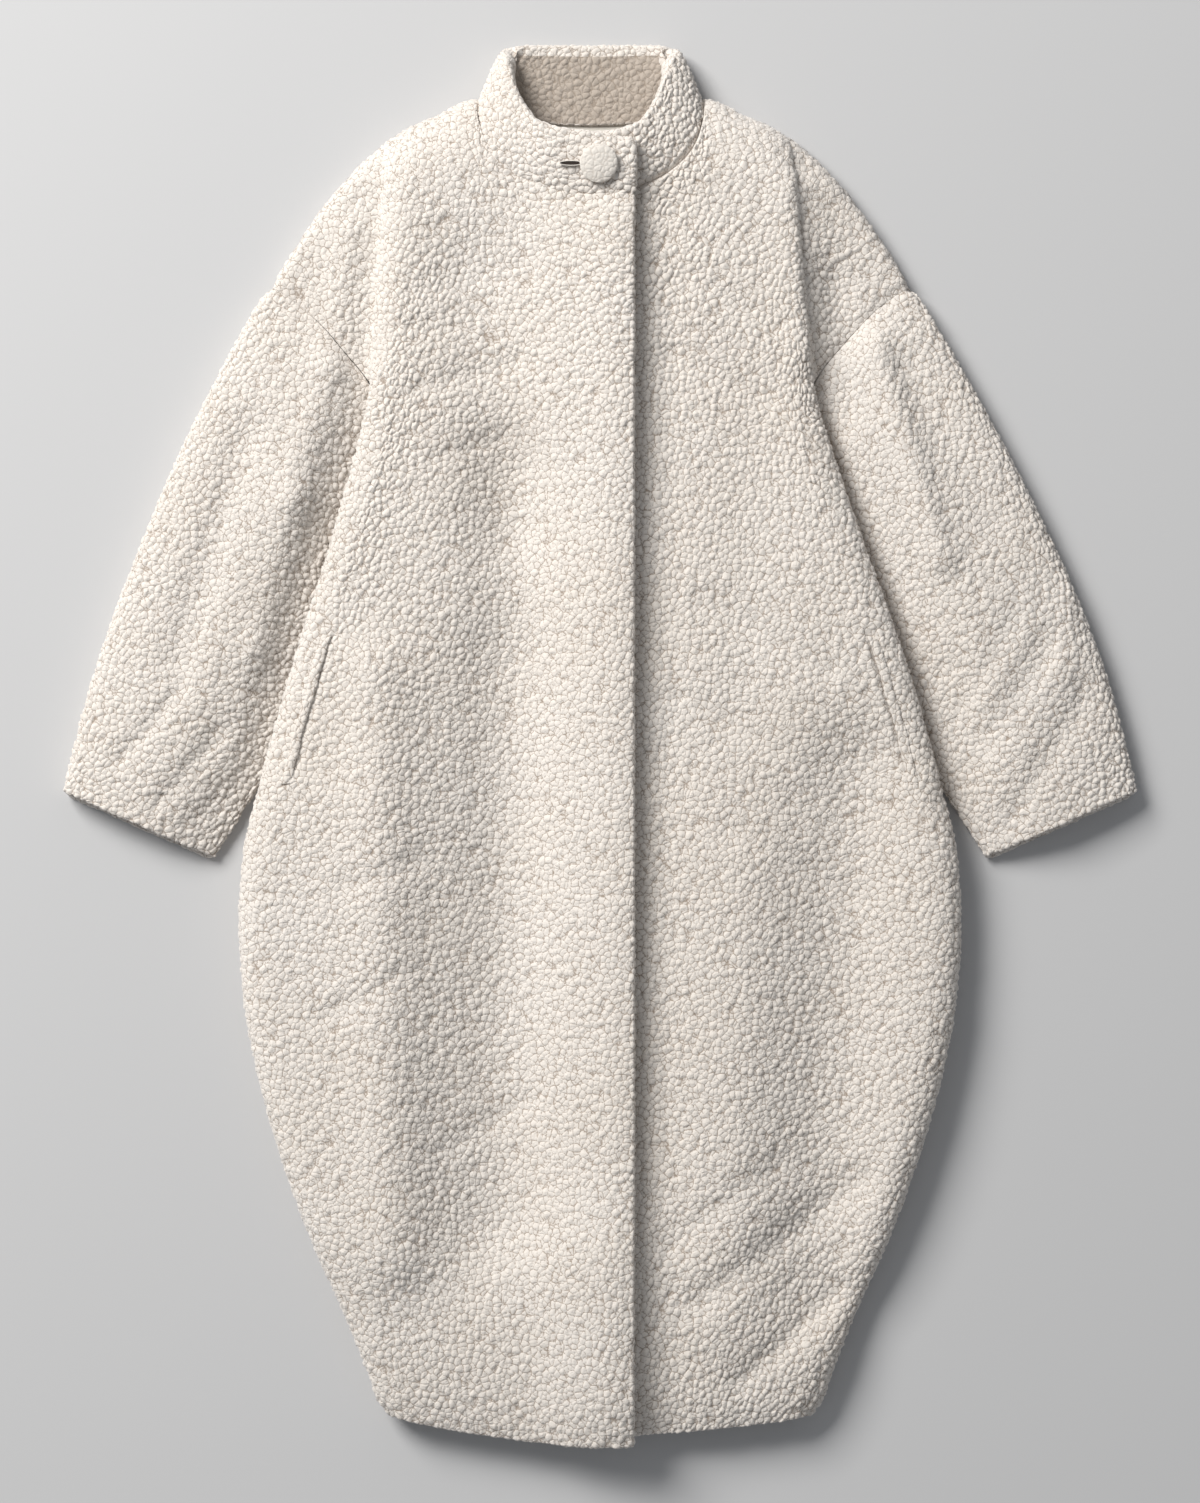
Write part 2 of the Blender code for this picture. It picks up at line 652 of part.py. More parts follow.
def make_button():
    """A covered button: a turned cap with a rounded rim and a low dome."""
    rim_radius = 2.6
    dome = BUTTON_THICKNESS - 2 * rim_radius
    profile = [(0.0, BUTTON_THICKNESS)]
    profile += [
        (radius, BUTTON_THICKNESS - dome * (radius / BUTTON_RADIUS) ** 2)
        for radius in (5.0, 9.5, BUTTON_RADIUS - rim_radius)
    ]
    for step in range(1, 5):
        angle = math.pi / 2 - math.pi * step / 4
        across = BUTTON_RADIUS - rim_radius + rim_radius * math.cos(angle)
        profile.append((across, rim_radius + rim_radius * math.sin(angle)))
    profile.append((0.0, 0.0))
    mesh = bpy.data.meshes.new("button")
    points = [Vector((x, 0, z)) * MM for x, z in profile]
    mesh.from_pydata(points, [(step, step + 1) for step in range(len(points) - 1)], [])
    obj = bpy.data.objects.new("button", mesh)
    bpy.context.scene.collection.objects.link(obj)
    turned = obj.modifiers.new("turned", "SCREW")
    turned.steps = turned.render_steps = 28
    turned.use_merge_vertices = True
    turned.merge_threshold = 0.01 * MM

    seat, turn = button_seat()
    obj.location = seat * MM
    obj.rotation_euler = turn.to_euler()
    return finish("button", obj, IVORY_PLAIN, 0.85)


def button_seat():
    """Where the button's underside rests on the collar, and its turn to lie along it."""
    turn = -1.0 + 0.035
    base, rim = collar_point(turn, 0.0), collar_point(turn, 1.0)
    rise = (BUTTON_AT[1] - base.y) / (rim.y - base.y)
    along = collar_point(turn, rise + 0.2) - collar_point(turn, rise - 0.2)
    across = collar_point(-1.05, rise) - collar_point(-0.93, rise)
    normal = across.cross(along).normalized()
    here = Vector((*BUTTON_AT, collar_point(turn, rise).z))
    return here + normal * 4 * SEAM_GAP, normal.to_track_quat("Z", "Y")


def main():
    for obj in list(bpy.data.objects):
        bpy.data.objects.remove(obj, do_unlink=True)
    collection = bpy.data.collections.new("cocoon_coat")
    bpy.context.scene.collection.children.link(collection)
    right, left, back = front_sheet(-1), front_sheet(1), back_sheet()
    make_welt("pocket_welt_right", right)
    make_welt("pocket_welt_left", left)
    make_facing(back)
    make_panel("front_right", right, SHOULDER_SEAM_Z, math.inf)
    make_panel("front_left", left, SHOULDER_SEAM_Z, math.inf)
    make_panel("back", back, 0.0, SHOULDER_SEAM_Z - SEAM_GAP)
    make_sleeve("sleeve_right", -1)
    make_sleeve("sleeve_left", 1)
    make_collar()
    make_button()


main()
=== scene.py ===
"""Cocoon coat of ivory boucle wool, laid flat on its back with its collar buttoned.

Each panel is rebuilt from the sections it was cut to, on a fine grid that carries the nubs of the
boucle and the cloth's creases. Tables and surfaces are in millimetres and meshes in metres. "Own x"
is a distance from the coat's middle towards a panel's own side seam.
"""

import math
from collections import namedtuple

import bpy
import numpy as np
from mathutils import Matrix, Vector

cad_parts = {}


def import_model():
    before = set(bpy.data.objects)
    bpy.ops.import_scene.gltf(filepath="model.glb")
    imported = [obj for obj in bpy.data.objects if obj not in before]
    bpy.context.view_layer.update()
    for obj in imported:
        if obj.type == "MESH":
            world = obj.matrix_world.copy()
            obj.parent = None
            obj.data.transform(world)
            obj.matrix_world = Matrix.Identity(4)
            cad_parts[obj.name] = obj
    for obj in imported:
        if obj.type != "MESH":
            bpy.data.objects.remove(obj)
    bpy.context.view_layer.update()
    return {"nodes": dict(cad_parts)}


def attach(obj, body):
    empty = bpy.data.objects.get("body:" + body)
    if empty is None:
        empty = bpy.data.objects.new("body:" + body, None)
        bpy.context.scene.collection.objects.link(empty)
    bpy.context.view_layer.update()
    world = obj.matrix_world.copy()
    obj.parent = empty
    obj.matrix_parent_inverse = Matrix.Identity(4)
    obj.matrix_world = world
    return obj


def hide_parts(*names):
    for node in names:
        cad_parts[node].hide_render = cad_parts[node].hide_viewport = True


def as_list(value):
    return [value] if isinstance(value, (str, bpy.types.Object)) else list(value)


MM = 0.001

# The cut, as the frame's solids have it
WALL = 4.0
SEAM_GAP = 0.3
LAP_GAP = 0.5
LAP = 27.0
SHOULDER_LEAN = -8.0
SHOULDER_SEAM_Z = 9.6
NECK_HALF_WIDTH = 97.0
NECK_TOP_Y = 537.0
FRONT_NECK_DEPTH = 75.0
BACK_NECK_DEPTH = 11.0
SHOULDER_TIP = (271.0, 388.0)
SHOULDER_BULGE = 40.0
SHOULDER_TRIM = 6.0
COLLAR_SWELL = 3.0
COLLAR_SIDE = 0.42
BUTTON_RADIUS = 16.0
BUTTON_THICKNESS = 7.0
ROLL_WIDTH = 28.0
HEM_DROP = {-1: 23.0, 1: 16.0, 0: 16.0}
HEM_FADE = 150.0
LIFT_FULL_X = 22.0
LIFT_END_X = 66.0
LAST_TUCK_ANGLE = math.radians(75)
BACK_STEPS = (5, 3, 4)
HEM_CURVE = 1.8
YOKE_CROWN_Z = 42
FRONT_SLANT = 41  # how far a section rises from the underarm to the middle of the front
BACK_SLANT_SHARE = 0.6
GUIDE_X = (90, 125)  # at the hem, and up the body
SHOULDER_ROLL = 1.8  # how far the fronts roll to the shoulder seam, for a height of 1
LEAST_ROLL = 10.0
BACK_EDGE_ROLL = 14
LAP_STEPS, GUIDE_STEPS, CHEST_STEPS, ROLL_STEPS, TUCK_STEPS = 3, 5, 4, 4, 4
ARMHOLE_GAP = 0.9  # from an armhole to the sleeve, and in which direction
ARMHOLE_OUT = (0.39, -0.92)
UNDERARM_GAP = 1.8
SLEEVE_EDGE_Z = (12, 6)  # the heights of a sleeve's outer and inner edge

# What the cloth that shows adds to the cut
NECK_RISE = 10.0
COLLAR_WALL = 9.0  # two layers of the cloth
RIM_DROP = 12.0
RIM_SPREAD = {-1: 9.0, 1: 5.0}
CORNER_SPREAD = 6.0
RIM_FILL = 5.0  # how much fuller the collar is on the left front
# Rows of the collar's inner face by the rim that keep the main boucle, outside the painted shade
UNSHADED_RIM_ROWS = 4
EDGE_WALL = 4.5  # what the turned-in edge of the front on top adds to its wall
SIDE_SWELL = 3.5
BUTTON_AT = (-0.5, 486.6)
BUTTON_LIFT = 1.2
BUTTON_DOME = 1.1
BUTTON_EDGE = 0.8
BUTTON_NUBS = 0.16  # how much of the nubs' height is left on the stretched cover
BUTTONHOLE_AT = (-24.0, 486.6)
BUTTONHOLE_LIFT = 2.0
SLIT_HALF = (9.5, 1.9)
LIP_HALF = (0.45, 0.4, 0.9)
LIP_RING = 0.28  # the tube of the ring that the lips are made from
POCKET_COLUMN = 12.0
POCKET_Y = (-26.0, 96.0)
POCKET_SEAM_Y = (-34.0, 88.0)
POCKET_DEPTH = 3.0
POCKET_COLUMN_RUN = (38.0, 10.7)  # how wide a column is on the pocket's two sides
WELT_COLUMNS = (0.12, 0.86)  # the welt's two edges, past the pocket's column
WELT_RISE = {-1: 1.5, 1: 0.7}
SHOULDER_SEAM_DEPTH = 0.3
NECK_SEAM_DEPTH = {-1: 0.1, 1: 2.2}  # shares of the depth of the other seams
COLLAR_SEAM_DEPTH = 1.4
FLOOR_Z = -0.0006  # in metres, just under the coat


def table(columns, *rows):
    """A table whose rows can be read by the names of their columns."""
    row_type = namedtuple("Row", columns)
    return [row_type(*row) for row in rows]


def fold_table(*rows):
    return table("from_x from_y to_x to_y width height", *rows)


# Sections of the body from the hem up to the underarm
BODY = table(
    "y half_width edge_z tuck seam_z crown_z",
    (-567, 180.0, 17, 8, 8.0, 30),
    (-555, 188.5, 19, 8, 9.0, 33),
    (-537, 194.5, 21, 8, 9.5, 36),
    (-486, 214.4, 24, 8, 10.0, 40),
    (-419, 244.0, 26, 8, 10.0, 42),
    (-351, 269.0, 26, 8, 10.0, 42),
    (-284, 288.0, 27, 8, 10.0, 42),
    (-216, 301.0, 27, 8, 10.0, 42),
    (-149, 305.0, 27, 8, 10.0, 42),
    (-95, 301.5, 28, 10, 10.5, 42),
    (-30, 286.5, 29, 16, 12.0, 42),
    (33, 269.5, 30, 20, 13.0, 42),
    (96, 250.0, 30, 20, 13.0, 42),
    (160, 228.5, 30, 20, 13.0, 42),
    (223, 208.5, 30, 20, 13.5, 42),
)

# Sections from the underarm to the shoulder
YOKE = table(
    "seam_x seam_y front_z back_z edge_x edge_z guide_x guide_y front_y back_y",
    (176.0, 261, 14.0, 13.7, 197, 31, 120, 300, 302, 285),
    (181.5, 283, 17.0, 4.0, 191, 31, 114, 350, 335, 322),
    (188.0, 304, 18.5, 0.5, 187, 31, 108, 395, 368, 362),
    (211.0, 336, 19.0, 0.0, 180, 30, 103, 450, 402, 415),
    (242.0, 368, 19.0, 0.0, 174, 29, 99, 506, 440, 478),
    (258.0, 380, 19.0, 0.0, 171, 28, 97.5, 527, 454, 508),
    (271.0, 388, 19.0, 0.0, 168, 28, 97, 537, 462, 526),
)

# Rings of a sleeve after the armhole
SLEEVE = table(
    "outer_x outer_y inner_x inner_y crown_z inner_z bow",
    (273.5, 387, 176.5, 260, 20, 15, 17),
    (283.0, 372, 183.5, 245, 24, 14, 15),
    (306.0, 332, 195.0, 215, 28, 14, 11),
    (330.0, 288, 209.5, 180, 30, 14, 7),
    (354.5, 240, 222.5, 145, 31, 14, 4),
    (378.0, 189, 235.5, 108, 31, 14, 2),
    (400.0, 138, 249.0, 68, 31, 14, 0),
    (420.0, 86, 260.5, 28, 31, 14, 0),
    (437.0, 32, 272.5, -12, 30, 14, 0),
    (447.5, -8, 297.0, -48, 29, 18, 0),
    (454.8, -38.5, 327.0, -95, 27, 20, 0),
)

# The collar's free edge, from the centre back to past the centre front
RIM = table(
    "share x y z",
    (0.00, 0, 589.6, 0.0),
    (0.20, 33, 589.8, 0.0),
    (0.34, 56, 590.0, 1.5),
    (0.42, 67, 589.0, 8.0),
    (0.49, 70.5, 585.5, 19.0),
    (0.57, 65, 577.0, 31.0),
    (0.66, 57, 562.0, 39.0),
    (0.76, 48, 546.0, 45.0),
    (0.86, 36, 531.5, 50.0),
    (0.94, 19, 524.5, 53.0),
    (1.00, 0, 522.0, 54.0),
    (1.15, -35, 516.0, 54.0),
)

# Soft folds: a line, how wide and how high the fold stands, down if negative
FOLDS = fold_table(
    (6, 420, 8, -520, 42, 4.5),
    (-92, 60, -112, -430, 44, -6.0),
    (-222, -60, -205, -400, 40, 4.0),
    (165, -60, 160, -470, 44, -4.0),
    (95, 330, 75, 0, 45, -2.5),
    (-195, 455, -196, 330, 16, -5.0),
    (190, 455, 199, 330, 16, -5.0),
)

# Creases that only the cloth carries, on its top face and on the face it lies on
TOP_CREASES = fold_table(
    (-108, 400, -74, 190, 38, -7.0),
    (-72, 225, -78, -400, 40, -11.5),
    (-188, 60, -172, -430, 30, 9.0),
    (218, -20, 192, -450, 42, -11.5),
    (128, -100, 112, -480, 36, 4.0),
    (140, 300, 118, 20, 30, -2.6),
    (-10, -440, -6, -600, 52, 7.0),
    (84, -469, 219, -368, 14, -3.4),
    (118, -537, 203, -461, 11, -3.0),
    (60, -420, 150, -352, 12, -2.0),
    (190, 462, 194, 412, 18, 3.2),
    (198, 392, 208, 286, 20, -4.0),
    (214, 420, 226, 330, 18, 1.6),
    (168, 466, 182, 335, 17, 6.0),
    (-214, 432, -226, 318, 17, 6.5),
    (-160, 380, -60, 402, 12, -1.2),
    (-175, 345, -95, 366, 11, -1.0),
    (-150, 300, -70, 322, 10, -1.8),
    (-140, 240, -80, 262, 8, -1.4),
    (70, 395, 150, 352, 10, -1.8),
    (60, 330, 140, 290, 9, -1.6),
    (90, 120, 190, 60, 12, -2.2),
    (70, 40, 150, -8, 9, -1.6),
    (110, -70, 215, -130, 11, -2.0),
    (-215, -120, -150, -96, 9, -1.6),
    (-230, -230, -170, -196, 10, -1.8),
    (-60, -300, -130, -340, 10, -1.6),
    (-298, 262, -356, 70, 18, -4.5),
    (-240, 278, -256, 206, 18, 3.5),
    (-256, 206, -287, 80, 19, 5.0),
    (-287, 80, -312, -24, 17, 3.5),
    (-405, -13, -354, 48, 8, -2.2),
    (-374, -50, -318, 14, 9, -2.4),
    (-338, -62, -300, -22, 7, -1.8),
    (234, 336, 288, 158, 13, 5.5),
    (290, 60, 306, 10, 18, -4.0),
    (262, 318, 330, 190, 18, -2.4),
    (295, -47, 382, 90, 14, -3.2),
    (346, -66, 408, 38, 11, -2.6),
    (304, 24, 350, 108, 10, -1.8),
    (388, 60, 398, 130, 12, 2.5),
)
EDGE_CREASES = {
    -1: fold_table((25, 440, 26, -590, 42, 9.5)),
    1: fold_table((50, 440, 50, -580, 24, -4.0)),
}
UNDER_CREASES = fold_table(
    (-95, 380, -70, 120, 22, 3.4),
    (40, 300, 95, -60, 26, 3.8),
    (-160, 60, -120, -330, 24, 3.4),
    (150, -120, 110, -430, 20, 3.0),
    (-30, -200, -55, -500, 18, 2.6),
    (-190, 250, -110, 190, 13, 2.4),
    (120, 180, 205, 120, 12, 2.2),
    (-60, 20, 30, -40, 12, 2.0),
    (-290, 220, -360, 20, 15, 3.0),
    (-320, 40, -390, -10, 10, 2.4),
    (290, 230, 350, 60, 14, 3.0),
    (330, 50, 395, 20, 10, 2.2),
)

# The cut of each piece of cloth that shows, along the cloth, in metres, a sleeve's all round
CUTS = table(
    "piece width length area rests_on",
    ("cloth_back", 0.683, 1.133, 0.539, ["floor"]),
    ("cloth_front_left", 0.409, 1.143, 0.328, ["cloth_back"]),
    ("cloth_front_right", 0.427, 1.149, 0.338, ["cloth_back", "cloth_front_left"]),
    ("cloth_sleeve_right", 0.365, 0.465, 0.150, ["floor"]),
    ("cloth_sleeve_left", 0.364, 0.472, 0.150, ["floor"]),
    ("cloth_collar", 0.557, 0.072, 0.027, ["cloth_back", "cloth_front_right"]),
    ("welt_right", 0.010, 0.134, 0.0011, ["cloth_front_right"]),
    ("welt_left", 0.010, 0.134, 0.0011, ["cloth_front_left"]),
)

# Grid spacing of the cloth that shows, in millimetres, and how many steps one step inside spans
FRONT_SPACING = 2.2
SLEEVE_LENGTH = 470
OVER_COLUMNS = 112
UNDER_COLUMNS = 48
CUFF_RINGS = 0.6  # the last part of a sleeve, where its under side runs out
COLLAR_COLUMNS = 301
COLLAR_ROWS = 43
FRONT_COLUMNS = 172
BACK_COLUMNS = 168
SLEEVE_SPACING = 2.1
BACK_SPACING = 3.4
INNER_FACTOR = 4

# The nubs of the boucle
NUBS_A_METRE = 192.0
CURLS_A_METRE = 390.0
NUB_HEIGHT = 3.3
NUB_LEVEL = 0.45  # share of the nubs' height that lies below the cloth's face
SEAM_SINK = 1.8
SEAM_SINK_STEPS = 4
SEAM_BULGE = 0.8  # how far a rim rounds out at a seam
EDGE_BULGE = 1.7  # and at a free edge
LAP_BULGE = 2.6  # and at the edge of the front on top
COLLAR_BULGE = 4.2
COLLAR_SEAM_BULGE = 1.6
CREASE_Z = (8, 26)  # the heights between which the creases on top set in
UNDER_CREASE_Z = 3
INNER_FALL = 8.0  # how much lower a sleeve runs beside the body
UNDER_LIP = 3.0  # how far a cuff's under side shows beyond its top


def smooth_step(value, low, high):
    """0 below low, 1 above high, and an easy curve between them."""
    share = np.clip((value - low) / (high - low), 0.0, 1.0)
    return share * share * (3 - 2 * share)


def hump(value, middle, width):
    """1 at the middle, and an easy fall to 0 on both sides."""
    return np.exp(-(((value - middle) / width) ** 2))


def rolled(share):
    """Height of a quarter circle at a share of its way in from the rim."""
    inside = np.clip(share, 0.0, 1.0)
    return np.sqrt(1 - (1 - inside) ** 2)


class Track:
    """A smooth curve through a table's column that never overshoots its rows."""

    def __init__(self, places, values):
        self.places = np.array(places, float)
        self.values = np.array(values, float)
        steps = np.diff(self.places)
        slopes = np.diff(self.values) / steps
        tangents = [slopes[0]]
        for before, after, left, right in zip(slopes, slopes[1:], steps, steps[1:]):
            flat = before * after <= 0
            first, second = 2 * right + left, right + 2 * left
            blend = 0.0 if flat else (first + second) / (first / before + second / after)
            tangents.append(blend)
        self.tangents = np.array(tangents + [slopes[-1]])

    def at(self, place):
        place = np.asarray(place, float)
        index = np.searchsorted(self.places, place, side="right") - 1
        index = np.clip(index, 0, len(self.places) - 2)
        step = self.places[index + 1] - self.places[index]
        share = np.clip((place - self.places[index]) / step, 0.0, 1.0)
        square, cube = share * share, share**3
        return (
            self.values[index] * (2 * cube - 3 * square + 1)
            + self.values[index + 1] * (3 * square - 2 * cube)
            + self.tangents[index] * step * (cube - 2 * square + share)
            + self.tangents[index + 1] * step * (cube - square)
        )


def tracks_of(rows, key):
    """A Track for each column of a table, along the column named by key."""
    places = [getattr(row, key) for row in rows]
    return {name: Track(places, [getattr(row, name) for row in rows]) for name in rows[0]._fields}


Section = namedtuple(
    "Section", "seam_y seam_x front_z back_z edge_x edge_z crown_z guide_x guide_y front_y back_y"
)


def section_rows():
    """The body's and the yoke's sections in one table, placed by the height of their seam."""
    first_y, underarm_y = BODY[0].y, YOKE[0].seam_y
    for row in BODY:
        slant = FRONT_SLANT * float(smooth_step(row.y, -95, underarm_y))
        widening = float(smooth_step(row.y, first_y, -350))
        yield Section(
            seam_y=row.y,
            seam_x=row.half_width - row.tuck,
            front_z=row.seam_z,
            back_z=row.seam_z - SEAM_GAP,
            edge_x=row.half_width,
            edge_z=row.edge_z,
            crown_z=row.crown_z,
            guide_x=GUIDE_X[0] + (GUIDE_X[1] - GUIDE_X[0]) * widening,
            guide_y=row.y + slant,
            front_y=row.y + slant,
            back_y=row.y + BACK_SLANT_SHARE * slant,
        )
    for row in YOKE:
        yield Section(crown_z=YOKE_CROWN_Z, **row._asdict())


SECTION = tracks_of(list(section_rows()), "seam_y")
SLEEVE_RING = {
    name: Track(range(len(SLEEVE)), [getattr(row, name) for row in SLEEVE])
    for name in SLEEVE[0]._fields
}
COLLAR_RIM = tracks_of(RIM, "share")
ARMHOLE_Y = (YOKE[-1].seam_y, YOKE[0].seam_y)


def lean(y):
    """How far the coat's middle has moved to one side at this height."""
    return SHOULDER_LEAN * smooth_step(y, 40, 390)


def world(side, own_x, y, z):
    """Points of one half, from own x to the coat's frame."""
    own_x, y, z = np.broadcast_arrays(own_x, y, z)
    return np.stack([side * own_x + lean(y), y, z], axis=-1).astype(float)


def shoulder_y(own_x):
    """The shoulder seam, carried on flat over the neck."""
    tip_x, tip_y = SHOULDER_TIP
    share = (tip_x - own_x) / (tip_x - NECK_HALF_WIDTH)
    seam = tip_y + (NECK_TOP_Y - tip_y) * share + SHOULDER_BULGE * 4 * share * (1 - share)
    return np.where(share > 1, NECK_TOP_Y + 0.35 * (NECK_HALF_WIDTH - own_x), seam)


def below_shoulder(own_x, y):
    """How far a point lies below the shoulder seam, or below its tip's height beyond it."""
    return np.where(own_x < SHOULDER_TIP[0], shoulder_y(own_x), SHOULDER_TIP[1]) - y


def shoulder_shape(share):
    """The shoulder seam's form over a height of 1, for sections that run beside it."""
    bulge = 4 * SHOULDER_BULGE / (NECK_TOP_Y - SHOULDER_TIP[1])
    return share + bulge * share * (1 - share)


def outer_y(seam_y, own_x):
    """Where a section runs between the guide line and the side seam or armhole."""
    seam_x, guide_x = SECTION["seam_x"].at(seam_y), SECTION["guide_x"].at(seam_y)
    share = np.clip((seam_x - own_x) / (seam_x - guide_x), 0.0, 1.0)
    return seam_y + (SECTION["guide_y"].at(seam_y) - seam_y) * shoulder_shape(share)


def neck_rise(own_x, y):
    """How far the cloth is drawn up where the shoulder seam meets the collar."""
    beside = smooth_step(own_x, 82, 97) * (1 - smooth_step(own_x, 99, 134))
    return NECK_RISE * beside * (1 - smooth_step(below_shoulder(own_x, y), 2, 55))


def hem_drop(side, own_x, y):
    """How far the hem's curve takes a point down."""
    across = 1 - np.minimum(1.0, np.abs(own_x) / BODY[0].half_width) ** HEM_CURVE
    return HEM_DROP[side] * across * (1 - smooth_step(y, BODY[0].y, BODY[0].y + HEM_FADE))


def fold_height(points, folds):
    """The height of a table of folds at points of the coat."""
    total = np.zeros(points.shape[:-1])
    for fold in folds:
        start = np.array([fold.from_x, fold.from_y], float)
        run = np.array([fold.to_x, fold.to_y], float) - start
        away = points[..., :2] - start
        share = np.clip(away @ run / (run @ run), 0.0, 1.0)
        distance = np.linalg.norm(away - share[..., None] * run, axis=-1)
        total += fold.height * hump(distance, 0.0, fold.width)
    return total


def creased(points, side=0):
    """Adds the creases: on top where the cloth stands high, beneath where it lies flat."""
    z = points[..., 2]
    on_top = TOP_CREASES + EDGE_CREASES.get(side, [])
    top = smooth_step(z, *CREASE_Z) * fold_height(points, on_top)
    under = (1 - smooth_step(z, 0, UNDER_CREASE_Z)) * fold_height(points, UNDER_CREASES)
    points[..., 2] = np.maximum(0.0, z + top + under)
    return points


def lapped(side, own_x):
    """How far the front on top is lifted by the one beneath it."""
    if side > 0:
        return 0.0 * own_x
    return (WALL + LAP_GAP) * (1 - smooth_step(own_x, LIFT_FULL_X, LIFT_END_X))


def lap_x(side, seam_y, world_x):
    """Own x of a line that is straight down both fronts, lap_x(side, y, LAP) being the edge."""
    return -world_x - side * lean(SECTION["front_y"].at(seam_y))


def front_surface(side, columns, seam_heights):
    """A front's outer face over a grid of columns, from its edge to its seam, and seam heights."""
    column, seam_y = np.broadcast_arrays(columns, seam_heights[:, None])
    at = {name: track.at(seam_y) for name, track in SECTION.items()}
    roll_x = at["edge_x"] - ROLL_WIDTH
    lap_end = lap_x(side, seam_y, -LAP)
    guide_end = LAP_STEPS + GUIDE_STEPS
    chest_end = guide_end + CHEST_STEPS
    roll_end = chest_end + ROLL_STEPS
    guide_share = np.sin(math.pi / 2 * np.clip((column - LAP_STEPS) / GUIDE_STEPS, 0, 1))
    roll_angle = math.pi / 2 * (1 - np.clip((column - chest_end) / ROLL_STEPS, 0, 1))
    tuck_angle = LAST_TUCK_ANGLE * np.clip((column - roll_end) / TUCK_STEPS, 0, 1)
    inward = (1 - np.cos(tuck_angle)) / (1 - math.cos(LAST_TUCK_ANGLE))
    down = np.sin(tuck_angle) / math.sin(LAST_TUCK_ANGLE)
    zones = [column <= LAP_STEPS, column <= guide_end, column <= chest_end, column <= roll_end]
    own_x = np.select(
        zones,
        [
            lap_x(side, seam_y, LAP) + 2 * LAP * column / LAP_STEPS,
            lap_end + (at["guide_x"] - lap_end) * guide_share,
            at["guide_x"] + (roll_x - at["guide_x"]) * (column - guide_end) / CHEST_STEPS,
            roll_x + ROLL_WIDTH * np.cos(roll_angle),
        ],
        at["edge_x"] + (at["seam_x"] - at["edge_x"]) * inward,
    )
    height = np.select(
        [column <= chest_end, column <= roll_end],
        [
            at["crown_z"],
            at["edge_z"] + (at["crown_z"] - at["edge_z"]) * np.sin(roll_angle),
        ],
        at["edge_z"] + (at["front_z"] - at["edge_z"]) * down,
    )
    across = np.clip(own_x / at["guide_x"], 0.0, 1.0)
    round_neck = smooth_step(seam_y, 355, SHOULDER_TIP[1])
    bend = round_neck * (1 - np.sqrt(1 - across**2)) + (1 - round_neck) * across**2
    rise = (at["guide_y"] - at["front_y"]) * bend
    y = np.where(column <= guide_end, at["front_y"] + rise, outer_y(seam_y, own_x))
    tucked = np.clip(column - chest_end, 0, None) / (ROLL_STEPS + TUCK_STEPS)
    points = world(side, own_x, y, height)
    height = height + fold_height(points, FOLDS) * (1 - smooth_step(tucked, 0.2, 0.8))
    height = height + lapped(side, own_x)
    full = height - SHOULDER_SEAM_Z
    share = below_shoulder(own_x, y) / np.maximum(LEAST_ROLL, SHOULDER_ROLL * full)
    points[..., 2] = np.where(full > 0, SHOULDER_SEAM_Z + full * rolled(share), height)
    points[..., 1] += neck_rise(own_x, y) - hem_drop(side, own_x, y)
    return points


def back_surface(columns, seam_heights):
    """The back's outer face, which lies on the surface but for its edges."""
    column, seam_y = np.broadcast_arrays(columns, seam_heights[:, None])
    to_guide, to_foot, to_seam = BACK_STEPS
    side = np.where(column < 0, -1, 1)
    step = np.abs(column)
    at = {name: track.at(seam_y) for name, track in SECTION.items()}
    foot = 10 + 0.3 * np.maximum(0.0, at["edge_x"] - at["seam_x"])
    foot_x = at["seam_x"] - foot
    guide_share = np.sin(math.pi / 2 * np.clip(step / to_guide, 0, 1))
    own_x = np.select(
        [step <= to_guide, step <= to_guide + to_foot],
        [
            at["guide_x"] * guide_share,
            at["guide_x"] + (foot_x - at["guide_x"]) * (step - to_guide) / to_foot,
        ],
        foot_x + foot * (step - to_guide - to_foot) / to_seam,
    )
    middle_y = at["back_y"] + (at["guide_y"] - at["back_y"]) * (own_x / at["guide_x"]) ** 2
    y = np.where(step <= to_guide, middle_y, outer_y(seam_y, own_x))
    risen = np.maximum(0.0, (own_x - foot_x) / foot)
    edge_height = (SHOULDER_SEAM_Z - SEAM_GAP) * (1 - rolled(below_shoulder(own_x, y) / BACK_EDGE_ROLL))
    points = world(side, own_x, y, np.maximum(at["back_z"] * risen**2, edge_height))
    points[..., 1] += neck_rise(own_x, y) - hem_drop(0, own_x, y)
    return points


